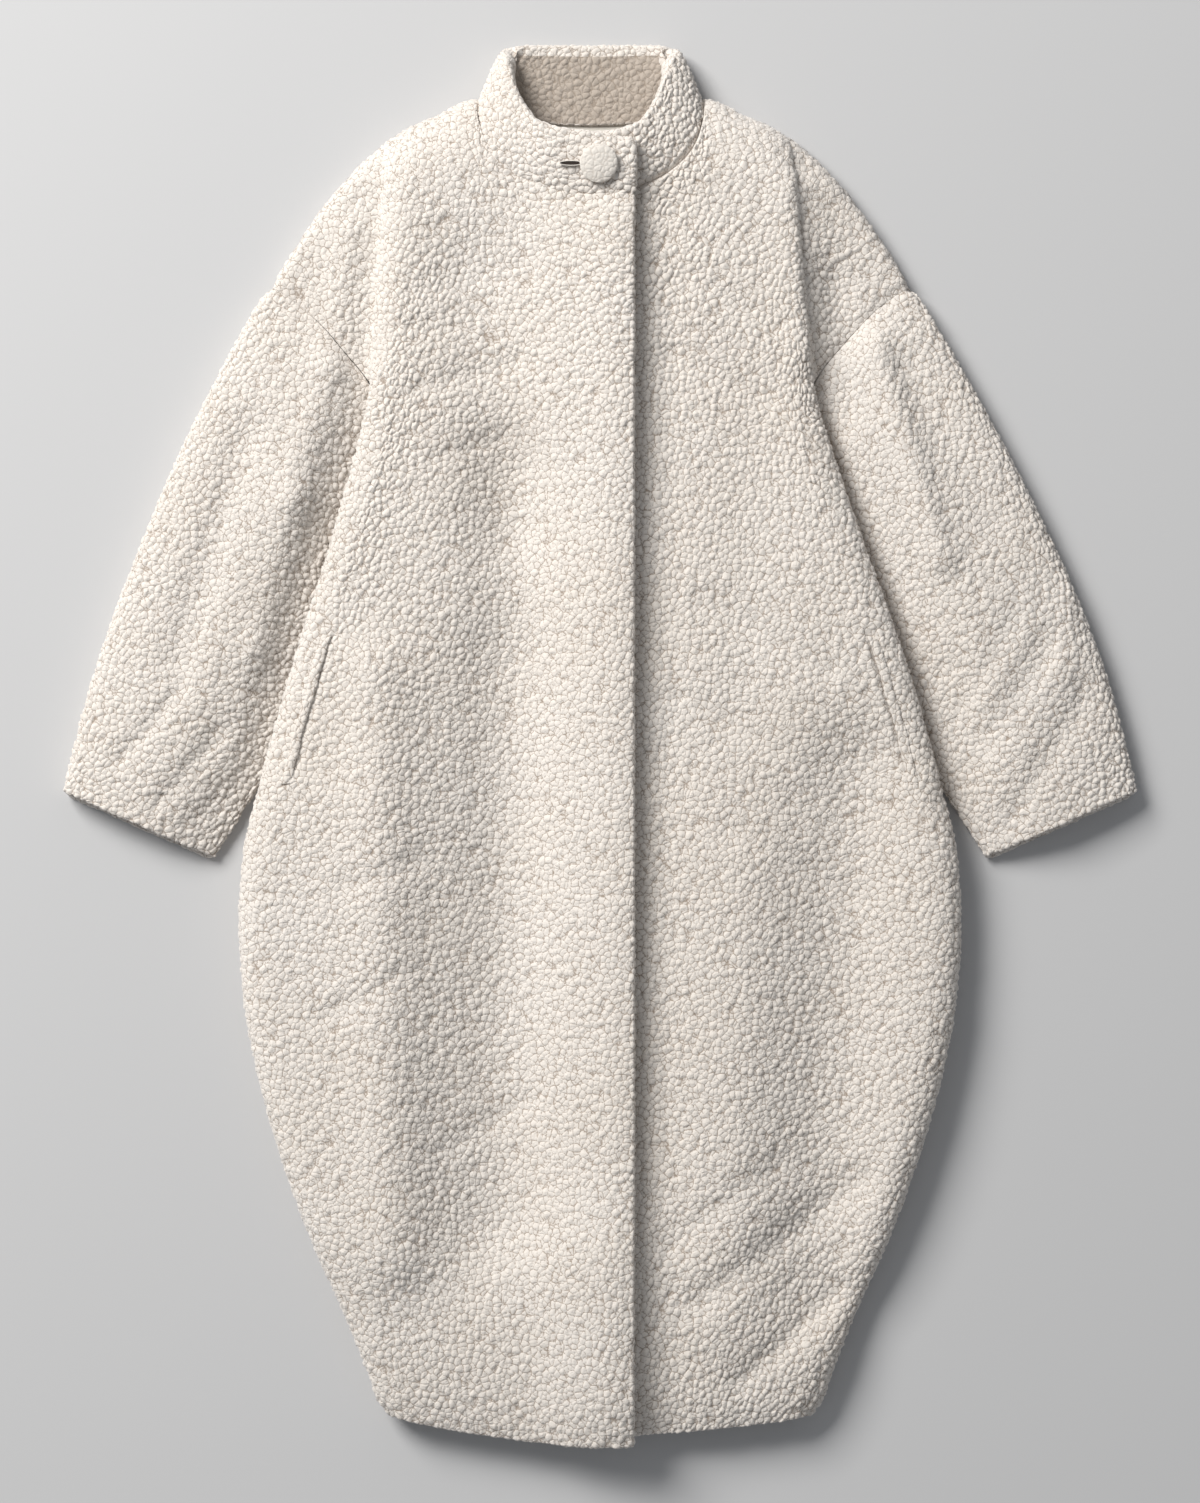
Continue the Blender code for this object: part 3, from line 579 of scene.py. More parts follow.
def neck_line(side, share):
    """The neck's seam line, from the centre back at 0 to the centre front at 1."""
    back_x = NECK_HALF_WIDTH * share / COLLAR_SIDE
    back_y = NECK_TOP_Y - BACK_NECK_DEPTH * (1 - (back_x / NECK_HALF_WIDTH) ** 2)
    back_below = shoulder_y(back_x) - back_y
    back_edge = (SHOULDER_SEAM_Z - SEAM_GAP) * (1 - rolled(back_below / BACK_EDGE_ROLL))
    turn = math.pi / 2 * np.maximum(0.0, (1 - share) / (1 - COLLAR_SIDE))
    lap_share = (share - 1) / (RIM[-1].share - 1)
    front_x = np.where(share > 1, RIM[-1].x * lap_share, NECK_HALF_WIDTH * np.sin(turn))
    front_y = NECK_TOP_Y - FRONT_NECK_DEPTH * np.cos(turn)
    crown = SECTION["crown_z"].at(SHOULDER_TIP[1])
    folds = fold_height(world(side, front_x, front_y, 0.0), FOLDS)
    full = crown + folds + lapped(side, front_x) - SHOULDER_SEAM_Z
    front_share = (shoulder_y(front_x) - front_y) / (SHOULDER_ROLL * full)
    front_edge = SHOULDER_SEAM_Z + full * rolled(front_share)
    at_back = share <= COLLAR_SIDE
    own_x = np.where(at_back, back_x, front_x)
    y = np.where(at_back, back_y, front_y)
    return own_x, world(side, own_x, y, np.where(at_back, back_edge, front_edge))


def collar_surface(turns, rises):
    """The collar's outer face. Turns run from its end on top, below 0, to the other end."""
    halves = []
    for side, chosen in ((-1, turns[turns < 0]), (1, turns[turns >= 0])):
        share, rise = np.meshgrid(np.abs(chosen), rises)
        own_x, base = neck_line(side, share)
        lift = np.where(share > COLLAR_SIDE, lapped(side, own_x), 0.0)
        rim_y = COLLAR_RIM["y"].at(share) - RIM_DROP * smooth_step(share, 0.5, 0.85)
        spread = smooth_step(share, 0.48, 0.68) * (1 - smooth_step(share, 0.8, 1.0))
        corner = CORNER_SPREAD * hump(share, 0.44, 0.13)
        rim_x = COLLAR_RIM["x"].at(share) + RIM_SPREAD[side] * spread + corner
        rim = world(side, rim_x, rim_y, COLLAR_RIM["z"].at(share) + lift)
        run = rim - base
        inward = run * (1.0, 1.0, 0.0)
        inward /= np.linalg.norm(inward, axis=-1, keepdims=True)
        start = base + inward * SEAM_GAP
        points = start + (rim - start) * rise[..., None]
        belly = 4 * rise * (1 - rise)
        points[..., 2] += COLLAR_SWELL * smooth_step(share, 0.5, 0.75) * belly
        points[..., 0] += side * SIDE_SWELL * belly * hump(share, 0.5, 0.12)
        folds = fold_height(points, TOP_CREASES + EDGE_CREASES[side])
        points[..., 2] += smooth_step(points[..., 2], *CREASE_Z) * folds
        halves.append(points)
    return np.concatenate(halves, axis=1)


def armhole_ring(angle):
    """The sleeve's first ring, just off the armhole."""
    seam_y = ARMHOLE_Y[0] + (ARMHOLE_Y[1] - ARMHOLE_Y[0]) * (1 - np.cos(angle)) / 2
    own_x = SECTION["seam_x"].at(seam_y)
    full = SECTION["front_z"].at(seam_y) - SHOULDER_SEAM_Z
    below = below_shoulder(own_x, seam_y)
    top_z = SHOULDER_SEAM_Z + full * rolled(below / np.maximum(LEAST_ROLL, SHOULDER_ROLL * full))
    edge_z = (SHOULDER_SEAM_Z - SEAM_GAP) * (1 - rolled(below / BACK_EDGE_ROLL))
    bottom_z = np.maximum(SECTION["back_z"].at(seam_y), edge_z)
    middle = (top_z + bottom_z) / 2
    ends = smooth_step(np.abs(np.sin(angle)), 0, 0.3)
    z = middle + (np.where(np.sin(angle) > 0, top_z, bottom_z) - middle) * ends
    clear_x = ARMHOLE_GAP * ARMHOLE_OUT[0] + UNDERARM_GAP * smooth_step(-np.cos(angle), 0.6, 1.0)
    return np.stack([own_x + clear_x, seam_y + ARMHOLE_GAP * ARMHOLE_OUT[1], z], axis=-1)


def oval_ring(ring, angle):
    """Points on a sleeve's oval rings, in own x, lying flat along their bottom."""
    at = {name: track.at(ring) for name, track in SLEEVE_RING.items()}
    share = (1 - np.cos(angle)) / 2
    chord_x, chord_y = at["inner_x"] - at["outer_x"], at["inner_y"] - at["outer_y"]
    length = np.hypot(chord_x, chord_y)
    bow = at["bow"] * 4 * share * (1 - share) / length
    own_x = at["outer_x"] + chord_x * share + chord_y * bow
    y = at["outer_y"] + chord_y * share - chord_x * bow
    edge_z = SLEEVE_EDGE_Z[0] + (SLEEVE_EDGE_Z[1] - SLEEVE_EDGE_Z[0]) * share
    fall = at["crown_z"] - at["inner_z"] + INNER_FALL
    top_z = at["crown_z"] - fall * smooth_step(share, 0.5, 1.15)
    rise = np.abs(np.sin(angle))
    over = edge_z + (top_z - edge_z) * rise**0.6
    under = edge_z * np.maximum(0.0, 1 - rise / 0.55) ** 2
    return np.stack([own_x, y, np.where(np.sin(angle) >= 0, over, under)], axis=-1)


def sleeve_surface(side, rings, angles):
    """A sleeve's outer face, ring 0 being the armhole's own shape."""
    angle, ring = np.meshgrid(angles, rings)
    points = oval_ring(ring, angle)
    fade = np.maximum(0.0, 1 - ring / 1.5)[..., None] ** 2
    points += (armhole_ring(angle) - oval_ring(0 * ring, angle)) * fade
    return world(side, points[..., 0], points[..., 1], points[..., 2])


def nub_height(points):
    """How far the nubs stand over the cloth's face at each point, in millimetres."""
    mesh = bpy.data.meshes.new("probe")
    mesh.from_pydata((points.reshape(-1, 3) * MM).tolist(), [], [])
    probe = bpy.data.objects.new("probe", mesh)
    bpy.context.scene.collection.objects.link(probe)
    bpy.context.view_layer.objects.active = probe
    reading = probe.modifiers.new("nubs", "NODES")
    reading.node_group = NUB_READER
    bpy.ops.object.modifier_apply(modifier=reading.name)
    share = np.empty(len(mesh.vertices), np.float32)
    probe.data.attributes["nub"].data.foreach_get("value", share)
    bpy.data.objects.remove(probe)
    return (share.reshape(points.shape[:-1]).astype(float) - NUB_LEVEL) * NUB_HEIGHT


def grid_normals(points, flip, wrap):
    """Outward normals of a grid of points."""
    along = np.gradient(points, axis=0)
    if wrap:
        across = (np.roll(points, -1, axis=1) - np.roll(points, 1, axis=1)) / 2
    else:
        across = np.gradient(points, axis=1)
    normals = np.cross(across, along)
    normals /= np.maximum(1e-9, np.linalg.norm(normals, axis=-1, keepdims=True))
    return -normals if flip else normals


def loop_of(rows, columns, wrap):
    """The grid's edges as lists of (row, column), in the direction that its faces run."""
    across = [(0, column) for column in range(columns)]
    if wrap:
        return [across, [(rows - 1, column) for column in reversed(range(columns))]]
    loop = across[:-1]
    loop += [(row, columns - 1) for row in range(rows - 1)]
    loop += [(rows - 1, column) for column in range(columns - 1, 0, -1)]
    loop += [(row, 0) for row in range(rows - 1, 0, -1)]
    return [loop]


def steps_from(row, column, rows, columns):
    """How many steps points of a grid are from each of its sides."""
    return {
        "first_row": row,
        "last_row": rows - 1 - row,
        "first_column": column,
        "last_column": columns - 1 - column,
    }


def seam_depth(rows, columns, seams):
    """How far the face sinks beside the sides of the grid that are sewn to another panel."""
    steps = steps_from(*np.mgrid[0:rows, 0:columns], rows, columns)
    depth = np.zeros((rows, columns))
    for name, deep in seams.items():
        depth = np.maximum(depth, deep * (1 - smooth_step(steps[name], 0, SEAM_SINK_STEPS)))
    return depth


def on_seam(row, column, rows, columns, seams):
    """Which points of the grid's edges lie on a sewn side."""
    steps = steps_from(row, column, rows, columns)
    sewn = np.zeros(len(row), bool)
    for name in seams:
        sewn |= steps[name] == 0
    return sewn


def grid_faces(first, rows, columns, wrap):
    """Four-sided faces over a grid of points that are numbered from first."""
    row, column = np.mgrid[0 : rows - 1, 0 : columns - (0 if wrap else 1)]
    after = (column + 1) % columns
    corners = [
        row * columns + column,
        row * columns + after,
        (row + 1) * columns + after,
        (row + 1) * columns + column,
    ]
    return first + np.stack([corner.reshape(-1) for corner in corners], axis=-1)


def rim_faces(rim, inner, factor, far_end):
    """Faces from a rim to the inside grid, which has one step for each few of the rim's."""
    count, half = len(rim), factor // 2
    shift = factor - 1 if far_end else 0
    faces = []
    for start in range(0, count, factor):
        fine = [int(rim[(start + step) % count]) for step in range(factor + 1)]
        start_inner = int(inner[(start + shift) % count])
        end_inner = int(inner[(start + shift + factor) % count])
        if factor == 1:
            faces.append([fine[1], fine[0], start_inner, end_inner])
            continue
        for step in range(half):
            faces.append([fine[step + 1], fine[step], start_inner])
        faces.append([fine[half], start_inner, end_inner])
        for step in range(half, factor):
            faces.append([fine[step + 1], fine[step], end_inner])
    return faces


def cloth_shell(
    name,
    base,
    material,
    flip=False,
    wrap=False,
    seams=None,
    dents=0.0,
    factor=INNER_FACTOR,
    trim=None,
    wall=WALL,
    bulge=EDGE_BULGE,
    seam_bulge=SEAM_BULGE,
    rounding=(50, 90, 130),
    nubs=1.0,
):
    """A closed piece of cloth whose outer face carries the nubs, with its rims rounded over."""
    seams = seams or {}
    rows, columns = base.shape[:2]
    thick = np.broadcast_to(wall, (rows, columns))
    normals = grid_normals(base, flip, wrap)
    sink = seam_depth(rows, columns, seams) + dents
    height = nub_height(base) * nubs * (1 - 0.6 * np.clip(sink / 2.0, 0, 1)) - sink
    outer = base + normals * height[..., None]
    inner_rows = np.arange(0, rows, factor)
    inner_columns = np.arange(0, columns, factor)
    inner = (base - normals * thick[..., None])[np.ix_(inner_rows, inner_columns)]
    inner_rest = inner
    if factor == 1:
        inner = inner - normals * 0.6 * nubs * nub_height(inner)[..., None]

    points = [outer.reshape(-1, 3), inner.reshape(-1, 3)]
    rest = [base.reshape(-1, 3), inner_rest.reshape(-1, 3)]
    total = rows * columns + len(inner_rows) * len(inner_columns)
    first_inner = rows * columns
    inner_faces = grid_faces(first_inner, len(inner_rows), len(inner_columns), wrap)
    faces = grid_faces(0, rows, columns, wrap).tolist() + inner_faces[:, ::-1].tolist()

    for loop in loop_of(rows, columns, wrap):
        count = len(loop)
        row, column = np.array(loop).T
        inside_row = np.clip(row, 1, rows - 2)
        inside_column = column if wrap else np.clip(column, 1, columns - 2)
        away = base[row, column] - base[inside_row, inside_column]
        normal = normals[row, column]
        away -= normal * np.sum(away * normal, axis=-1, keepdims=True)
        away /= np.maximum(1e-9, np.linalg.norm(away, axis=-1, keepdims=True))
        sewn = on_seam(row, column, rows, columns, seams)
        top = height[row, column]
        before = row * columns + column
        for angle in np.radians(rounding):
            depth = top - (thick[row, column] + top) * (1 - math.cos(angle)) / 2
            round_out = np.where(sewn, seam_bulge, bulge) * math.sin(angle)
            rim = base[row, column] + normal * depth[:, None] + away * round_out[:, None]
            rest.append(rim)
            proud = np.where(sewn, 0.0, 0.7 * nubs) * nub_height(rim) * math.sin(angle)
            points.append(rim + away * proud[:, None])
            here = total + np.arange(count)
            total += count
            quads = np.stack([np.roll(before, -1), before, here, np.roll(here, -1)], axis=-1)
            faces.extend(quads.tolist())
            before = here
        coarse = first_inner + (row // factor) * len(inner_columns) + column // factor
        faces += rim_faces(before, coarse, factor, far_end=wrap and row[0] > 0)

    points = np.concatenate(points)
    rest = np.concatenate(rest)
    if trim:
        near_seam = points[:, 1] > SHOULDER_TIP[1] - SHOULDER_TRIM
        points[near_seam, 2] = np.clip(points[near_seam, 2], *trim)
    points[:, 2] = np.maximum(points[:, 2], 0.0)
    if flip:
        faces = [face[::-1] for face in faces]
    return piece_of(name, points, rest, faces, material)


def piece_of(name, points, rest, faces, material):
    """A mesh object from points in millimetres, which keeps where each lay before its nubs."""
    mesh = bpy.data.meshes.new(name)
    mesh.from_pydata((points * MM).tolist(), [], faces)
    kept = mesh.attributes.new("rest", "FLOAT_VECTOR", "POINT")
    kept.data.foreach_set("vector", (rest * MM).astype(np.float32).reshape(-1))
    mesh.materials.append(material)
    mesh.shade_smooth()
    obj = bpy.data.objects.new(name, mesh)
    bpy.context.scene.collection.objects.link(obj)
    return obj


def even_columns(surface, low, high, count, seam_heights):
    """Columns for each row of a panel's grid, the same distance apart along the cloth."""
    coarse_heights = np.linspace(seam_heights[0], seam_heights[-1], 120)
    dense = np.linspace(low, high, 500)
    points = surface(dense, coarse_heights)
    runs = np.linalg.norm(np.diff(points, axis=1), axis=-1)
    travelled = np.concatenate([np.zeros((len(points), 1)), np.cumsum(runs, axis=1)], axis=1)
    travelled /= travelled[:, -1:]
    shares = np.linspace(0, 1, count + 1)
    coarse = np.stack([np.interp(shares, row, dense) for row in travelled])
    columns = [np.interp(seam_heights, coarse_heights, column) for column in coarse.T]
    return np.stack(columns, axis=1)


def fine_heights(spacing, multiple):
    """Seam heights whose rows stand about that far apart, ending at the shoulder's tip."""
    dense = np.linspace(BODY[0].y, SHOULDER_TIP[1], 4000)
    pace = np.maximum(1.0, np.gradient(SECTION["guide_y"].at(dense), dense))
    to_tip = np.abs(SHOULDER_TIP[1] - dense)
    pace *= 1 + 3.0 * np.exp(-to_tip / 1.5)
    travelled = np.concatenate([[0.0], np.cumsum((pace[1:] + pace[:-1]) / 2 * np.diff(dense))])
    count = multiple * round(travelled[-1] / spacing / multiple)
    return np.interp(np.linspace(0, travelled[-1], count + 1), travelled, dense)


class Value:
    """A shader socket that takes part in arithmetic."""

    def __init__(self, tree, socket):
        self.tree = tree
        self.socket = socket

    def beside(self, output):
        """Another output of the same node."""
        return Value(self.tree, self.socket.node.outputs[output])

    def _math(self, operation, first, second=None):
        node = self.tree.nodes.new("ShaderNodeMath")
        node.operation = operation
        for place, value in enumerate((first, second)):
            if isinstance(value, Value):
                self.tree.links.new(value.socket, node.inputs[place])
            elif value is not None:
                node.inputs[place].default_value = value
        return Value(self.tree, node.outputs[0])

    def __add__(self, other):
        return self._math("ADD", self, other)

    def __radd__(self, other):
        return self._math("ADD", other, self)

    def __sub__(self, other):
        return self._math("SUBTRACT", self, other)

    def __rsub__(self, other):
        return self._math("SUBTRACT", other, self)

    def __mul__(self, other):
        return self._math("MULTIPLY", self, other)

    def __rmul__(self, other):
        return self._math("MULTIPLY", other, self)


class Nodes:
    """A tree of nodes, built from expressions."""

    def __init__(self, tree):
        self.tree = tree

    def node(self, kind, settings=None, output=0, **inputs):
        """Adds a node, sets it up, then gives its sockets their values or links."""
        made = self.tree.nodes.new(kind)
        for key, value in (settings or {}).items():
            setattr(made, key, value)
        for key, value in inputs.items():
            self.put(made.inputs[key.replace("_", " ")], value)
        return None if output is None else Value(self.tree, made.outputs[output])

    def put(self, socket, value):
        if isinstance(value, Value):
            self.tree.links.new(value.socket, socket)
        else:
            socket.default_value = value

    def vector(self, operation, *values):
        made = self.tree.nodes.new("ShaderNodeVectorMath")
        made.operation = operation
        for socket, value in zip(made.inputs, values):
            self.put(socket, value)
        return Value(self.tree, made.outputs[0])

    def mix(self, share, first, second, blend="MIX"):
        """A colour between two others."""
        made = self.tree.nodes.new("ShaderNodeMix")
        made.data_type = "RGBA"
        made.blend_type = blend
        self.put(made.inputs[0], share)
        self.put(made.inputs[6], first)
        self.put(made.inputs[7], second)
        return Value(self.tree, made.outputs[2])

    def ease(self, value, low, high, start=0.0, end=1.0):
        """An easy curve from start to end as the value goes from low to high."""
        settings = {"interpolation_type": "SMOOTHSTEP"}
        made = self.node("ShaderNodeMapRange", settings, Value=value)
        sockets = made.socket.node.inputs
        for name, number in zip(("From Min", "From Max", "To Min", "To Max"), (low, high, start, end)):
            sockets[name].default_value = number
        return made

    def noise(self, place, scale, detail=2.0, roughness=0.5, output=0):
        settings = {"Scale": scale, "Detail": detail, "Roughness": roughness}
        return self.node("ShaderNodeTexNoise", output=output, Vector=place, **settings)

    def cells(self, place, scale, feature="F1"):
        settings = {"feature": feature}
        return self.node("ShaderNodeTexVoronoi", settings, Vector=place, Scale=scale)

    def bump(self, height, distance, strength=1.0):
        return self.node("ShaderNodeBump", Height=height, Distance=distance, Strength=strength)


def nub_pattern(nodes, place):
    """Share of a full nub: rounded curls of yarn, packed unevenly, with gaps between them."""
    bend = nodes.noise(place, 150.0, 1.0, output=1)
    bent = nodes.vector("MULTIPLY_ADD", bend, (0.0020, 0.0020, 0.0020), place)
    centre = nodes.cells(bent, NUBS_A_METRE)
    border = nodes.cells(bent, NUBS_A_METRE, "DISTANCE_TO_EDGE")
    curl = nodes.cells(bent, CURLS_A_METRE, "DISTANCE_TO_EDGE")
    own = nodes.node("ShaderNodeSeparateXYZ", Vector=centre.beside(1))
    rounded = nodes.ease(border, -0.06, 0.25) * (0.62 + 0.38 * own)
    loop = nodes.ease(centre, 0.12, 0.26) * nodes.ease(centre, 0.26, 0.40, 1.0, 0.0)
    looped = rounded - 0.22 * loop * nodes.ease(own, 0.55, 0.7)
    dome = nodes.ease(centre, 0.0, 0.8, 1.0, 0.0)
    return 0.60 * looped + 0.22 * dome + 0.18 * nodes.ease(curl, -0.05, 0.3)


def nub_reader():
    """A node group that writes the nub pattern at a mesh's points into an attribute."""
    group = bpy.data.node_groups.new("nub_reader", "GeometryNodeTree")
    group.interface.new_socket("Geometry", in_out="INPUT", socket_type="NodeSocketGeometry")
    group.interface.new_socket("Geometry", in_out="OUTPUT", socket_type="NodeSocketGeometry")
    nodes = Nodes(group)
    mesh = nodes.node("NodeGroupInput")
    place = nodes.node("GeometryNodeInputPosition")
    stored = nodes.node(
        "GeometryNodeStoreNamedAttribute",
        {"data_type": "FLOAT", "domain": "POINT"},
        Geometry=mesh,
        Name="nub",
        Value=nub_pattern(nodes, place),
    )
    nodes.node("NodeGroupOutput", output=None, Geometry=stored)
    return group


def new_material(name):
    material = bpy.data.materials.new(name)
    material.use_nodes = True
    return material, Nodes(material.node_tree)


def dress(material, **inputs):
    """Sets sockets of a material's surface, spaces written as underscores."""
    nodes = Nodes(material.node_tree)
    surface = material.node_tree.nodes["Principled BSDF"]
    for key, value in inputs.items():
        nodes.put(surface.inputs[key.replace("_", " ")], value)
    return material


def rgb(red, green, blue):
    return (red, green, blue, 1.0)


def boucle_material(name, gap_shade, face, grain=1.0):
    """Nubby wool: pale curls over a painted shade in the gaps between them, darker and warmer, with
    fine fibres and a soft nap.
    """
    material, nodes = new_material(name)
    place = nodes.node("ShaderNodeAttribute", {"attribute_name": "rest"}, output=1)
    nub = nub_pattern(nodes, place)
    fibres = nodes.noise(place, 900.0, 3.0, 0.65)
    patches = nodes.noise(place, 11.0, 2.0)
    # Painted shade: where the nub pattern sinks between the curls, the colour goes to the darker gap
    # shade.
    unshaded_share = nodes.ease(nub + 0.2 * fibres, 0.12, 0.48)
    colour = nodes.mix(unshaded_share, gap_shade, face)
    tint = nodes.mix(patches, rgb(1.0, 1.0, 1.0), rgb(0.94, 0.915, 0.88))
    return dress(
        material,
        Base_Color=nodes.mix(1.0, colour, tint, "MULTIPLY"),
        Roughness=0.95,
        Sheen_Weight=0.4,
        Sheen_Roughness=0.6,
        Specular_IOR_Level=0.2,
        Normal=nodes.bump(nub + 0.25 * fibres, 0.0012 * grain, 0.65),
    )


def plain_cloth(name, colour, scale, distance, roughness):
    """Smooth cloth with a fine grain; the near-black one of the buttonhole is a painted shadow, not a
    cloth.
    """
    material, nodes = new_material(name)
    grain = nodes.noise(nodes.node("ShaderNodeTexCoord", output=3), scale, 3.0, 0.6)
    darker = tuple(channel * 0.9 for channel in colour[:3]) + (1.0,)
    return dress(
        material,
        Base_Color=nodes.mix(grain, darker, colour),
        Roughness=roughness,
        Sheen_Weight=0.15,
        Normal=nodes.bump(grain, distance, 0.8),
    )


def floor_material():
    material, _ = new_material("floor")
    return dress(material, Base_Color=rgb(0.60, 0.60, 0.605), Roughness=0.9)


def make_front(name, side, material):
    heights = fine_heights(FRONT_SPACING, INNER_FACTOR)
    last = LAP_STEPS + GUIDE_STEPS + CHEST_STEPS + ROLL_STEPS + TUCK_STEPS

    def surface(columns, seam_heights):
        return front_surface(side, columns, seam_heights)

    columns = even_columns(surface, 0, last, FRONT_COLUMNS, heights)
    base = surface(columns, heights)
    base = creased(base, side)
    own_x = side * (base[-1, :, 0] - lean(base[-1, :, 1]))
    neck_depth = SEAM_SINK * NECK_SEAM_DEPTH[side]
    top_depth = np.where(own_x < NECK_HALF_WIDTH, neck_depth, SHOULDER_SEAM_DEPTH)
    return cloth_shell(
        name,
        base,
        material,
        flip=side < 0,
        seams={"last_column": SEAM_SINK, "last_row": top_depth},
        dents=pocket_dent(side, base, columns),
        wall=front_wall(side, columns),
        bulge=LAP_BULGE if side < 0 else EDGE_BULGE,
        rounding=(30, 60, 90, 120, 150),
        trim=(SHOULDER_SEAM_Z, math.inf),
    )


def front_wall(side, columns):
    """How thick a front is: doubled along the edge on top, where the cloth is turned in."""
    from_edge = 2 * LAP * columns / LAP_STEPS
    return WALL + (EDGE_WALL if side < 0 else 0.0) * (1 - smooth_step(from_edge, 22, 40))


def pocket_dent(side, base, columns):
    """The pocket's opening: a soft wavy groove on one side, a small step down on the other."""
    away = np.where(columns < POCKET_COLUMN, *POCKET_COLUMN_RUN) * (columns - POCKET_COLUMN)
    y = base[..., 1]
    window = smooth_step(y, POCKET_Y[0] - 8, POCKET_Y[0] + 12) * (
        1 - smooth_step(y, POCKET_Y[1] - 3, POCKET_Y[1] + 3)
    )
    if side > 0:
        step = smooth_step(away, -2.4, 0.4) * (1 - smooth_step(away, 3, 13))
        return POCKET_DEPTH * step * window
    wavy = 0.9 * np.sin(y / 9.0) + 0.4 * np.sin(y / 4.0 + 1.0)
    return POCKET_DEPTH * 0.55 * hump(away, wavy, 3.2) * window


def make_welt(name, side, material):
    """The pocket's welt: a narrow folded strip of the cloth, pressed flatter than the coat."""
    heights = np.linspace(*POCKET_SEAM_Y, 61)
    wavy = 0.05 * np.sin(heights / 9.0) + 0.03 * np.sin(heights / 4.0)
    near, far = (POCKET_COLUMN + past for past in WELT_COLUMNS)
    columns = np.linspace(near, far, 9) + wavy[:, None]
    base = creased(front_surface(side, columns, heights), side)
    normals = grid_normals(base, side < 0, False)
    across = np.linspace(-1, 1, columns.shape[1])
    along = np.linspace(-1, 1, len(heights))[:, None]
    rise = WELT_RISE[side] * (1 - 0.7 * across**4) * (1 - 0.6 * along**10)
    return cloth_shell(
        name,
        base + normals * rise[..., None],
        material,
        flip=side < 0,
        wall=WELT_RISE[side],
        bulge=0.6,
        nubs=0.45,
    )


def make_back(name, material):
    heights = fine_heights(BACK_SPACING, INNER_FACTOR)
    half = even_columns(back_surface, 0, sum(BACK_STEPS), BACK_COLUMNS // 2, heights)
    columns = np.concatenate([-half[:, :0:-1], half], axis=1)
    return cloth_shell(
        name,
        creased(back_surface(columns, heights)),
        material,
        flip=True,
        seams={
            "first_column": SEAM_SINK,
            "last_column": SEAM_SINK,
            "last_row": SHOULDER_SEAM_DEPTH,
        },
        trim=(0.0, SHOULDER_SEAM_Z - SEAM_GAP),
    )


def make_sleeve(name, side, material):
    over = np.linspace(0, math.pi, OVER_COLUMNS + 1)[:-1]
    under = np.linspace(math.pi, 2 * math.pi, UNDER_COLUMNS + 1)[:-1]
    angles = np.concatenate([over, under])
    last = len(SLEEVE) - 1
    count = INNER_FACTOR * round(SLEEVE_LENGTH / SLEEVE_SPACING / INNER_FACTOR)
    lengths = np.concatenate([[0.0], np.cumsum([sleeve_run(row) for row in range(last)])])
    rings = np.interp(np.linspace(0, lengths[-1], count + 1), lengths, np.arange(last + 1))
    base = creased(sleeve_surface(side, rings, angles))
    along = base[-1] - base[-4]
    along /= np.linalg.norm(along, axis=-1, keepdims=True)
    lip = UNDER_LIP * smooth_step(-np.sin(angles), 0.0, 0.4)
    reach = smooth_step(rings, last - CUFF_RINGS, last)[:, None, None]
    base += along * lip[:, None] * reach
    return cloth_shell(
        name, base, material, flip=side < 0, wrap=True, seams={"first_row": SEAM_SINK}
    )


def sleeve_run(row):
    """How far the middle of a sleeve's ring is from the next ring's."""
    here, after = SLEEVE[row], SLEEVE[row + 1]
    run_x = (after.outer_x + after.inner_x - here.outer_x - here.inner_x) / 2
    run_y = (after.outer_y + after.inner_y - here.outer_y - here.inner_y) / 2
    return math.hypot(run_x, run_y)


def collar_end(side):
    """The turn where the collar's end stands, in line with the front's edge."""
    edge_x = float(lap_x(side, SHOULDER_TIP[1], LAP))
    return 1 + (RIM[-1].share - 1) * edge_x / RIM[-1].x


def make_collar(name, material, inside):
    turns = np.linspace(-collar_end(-1), collar_end(1), COLLAR_COLUMNS)
    base = collar_surface(turns, np.linspace(0, 1, COLLAR_ROWS))
    base_depth = SEAM_SINK * COLLAR_SEAM_DEPTH * (1 - smooth_step(-turns, 0.15, 0.32))
    corners = hump(np.abs(turns), 0.5, 0.16)
    under_side = smooth_step(turns, 0.3, 0.45)
    collar = cloth_shell(
        name,
        base,
        material,
        flip=True,
        seams={"first_row": base_depth},
        factor=1,
        wall=COLLAR_WALL + CORNER_SPREAD * corners + RIM_FILL * under_side,
        bulge=COLLAR_BULGE,
        seam_bulge=COLLAR_SEAM_BULGE,
        rounding=(20, 45, 70, 90, 110, 135, 160),
    )
    # The inner faces below the rim take the darker boucle: painted shade for the collar's shaded
    # inside.
    collar.data.materials.append(inside)
    rows, columns = base.shape[0] - 1, base.shape[1] - 1
    first = rows * columns
    for polygon in collar.data.polygons[first : first + (rows - UNSHADED_RIM_ROWS) * columns]:
        polygon.material_index = 1
    return collar


def select(*objects):
    """Selects these objects alone and makes the last one active."""
    bpy.ops.object.select_all(action="DESELECT")
    for obj in objects:
        obj.select_set(True)
    bpy.context.view_layer.objects.active = objects[-1]


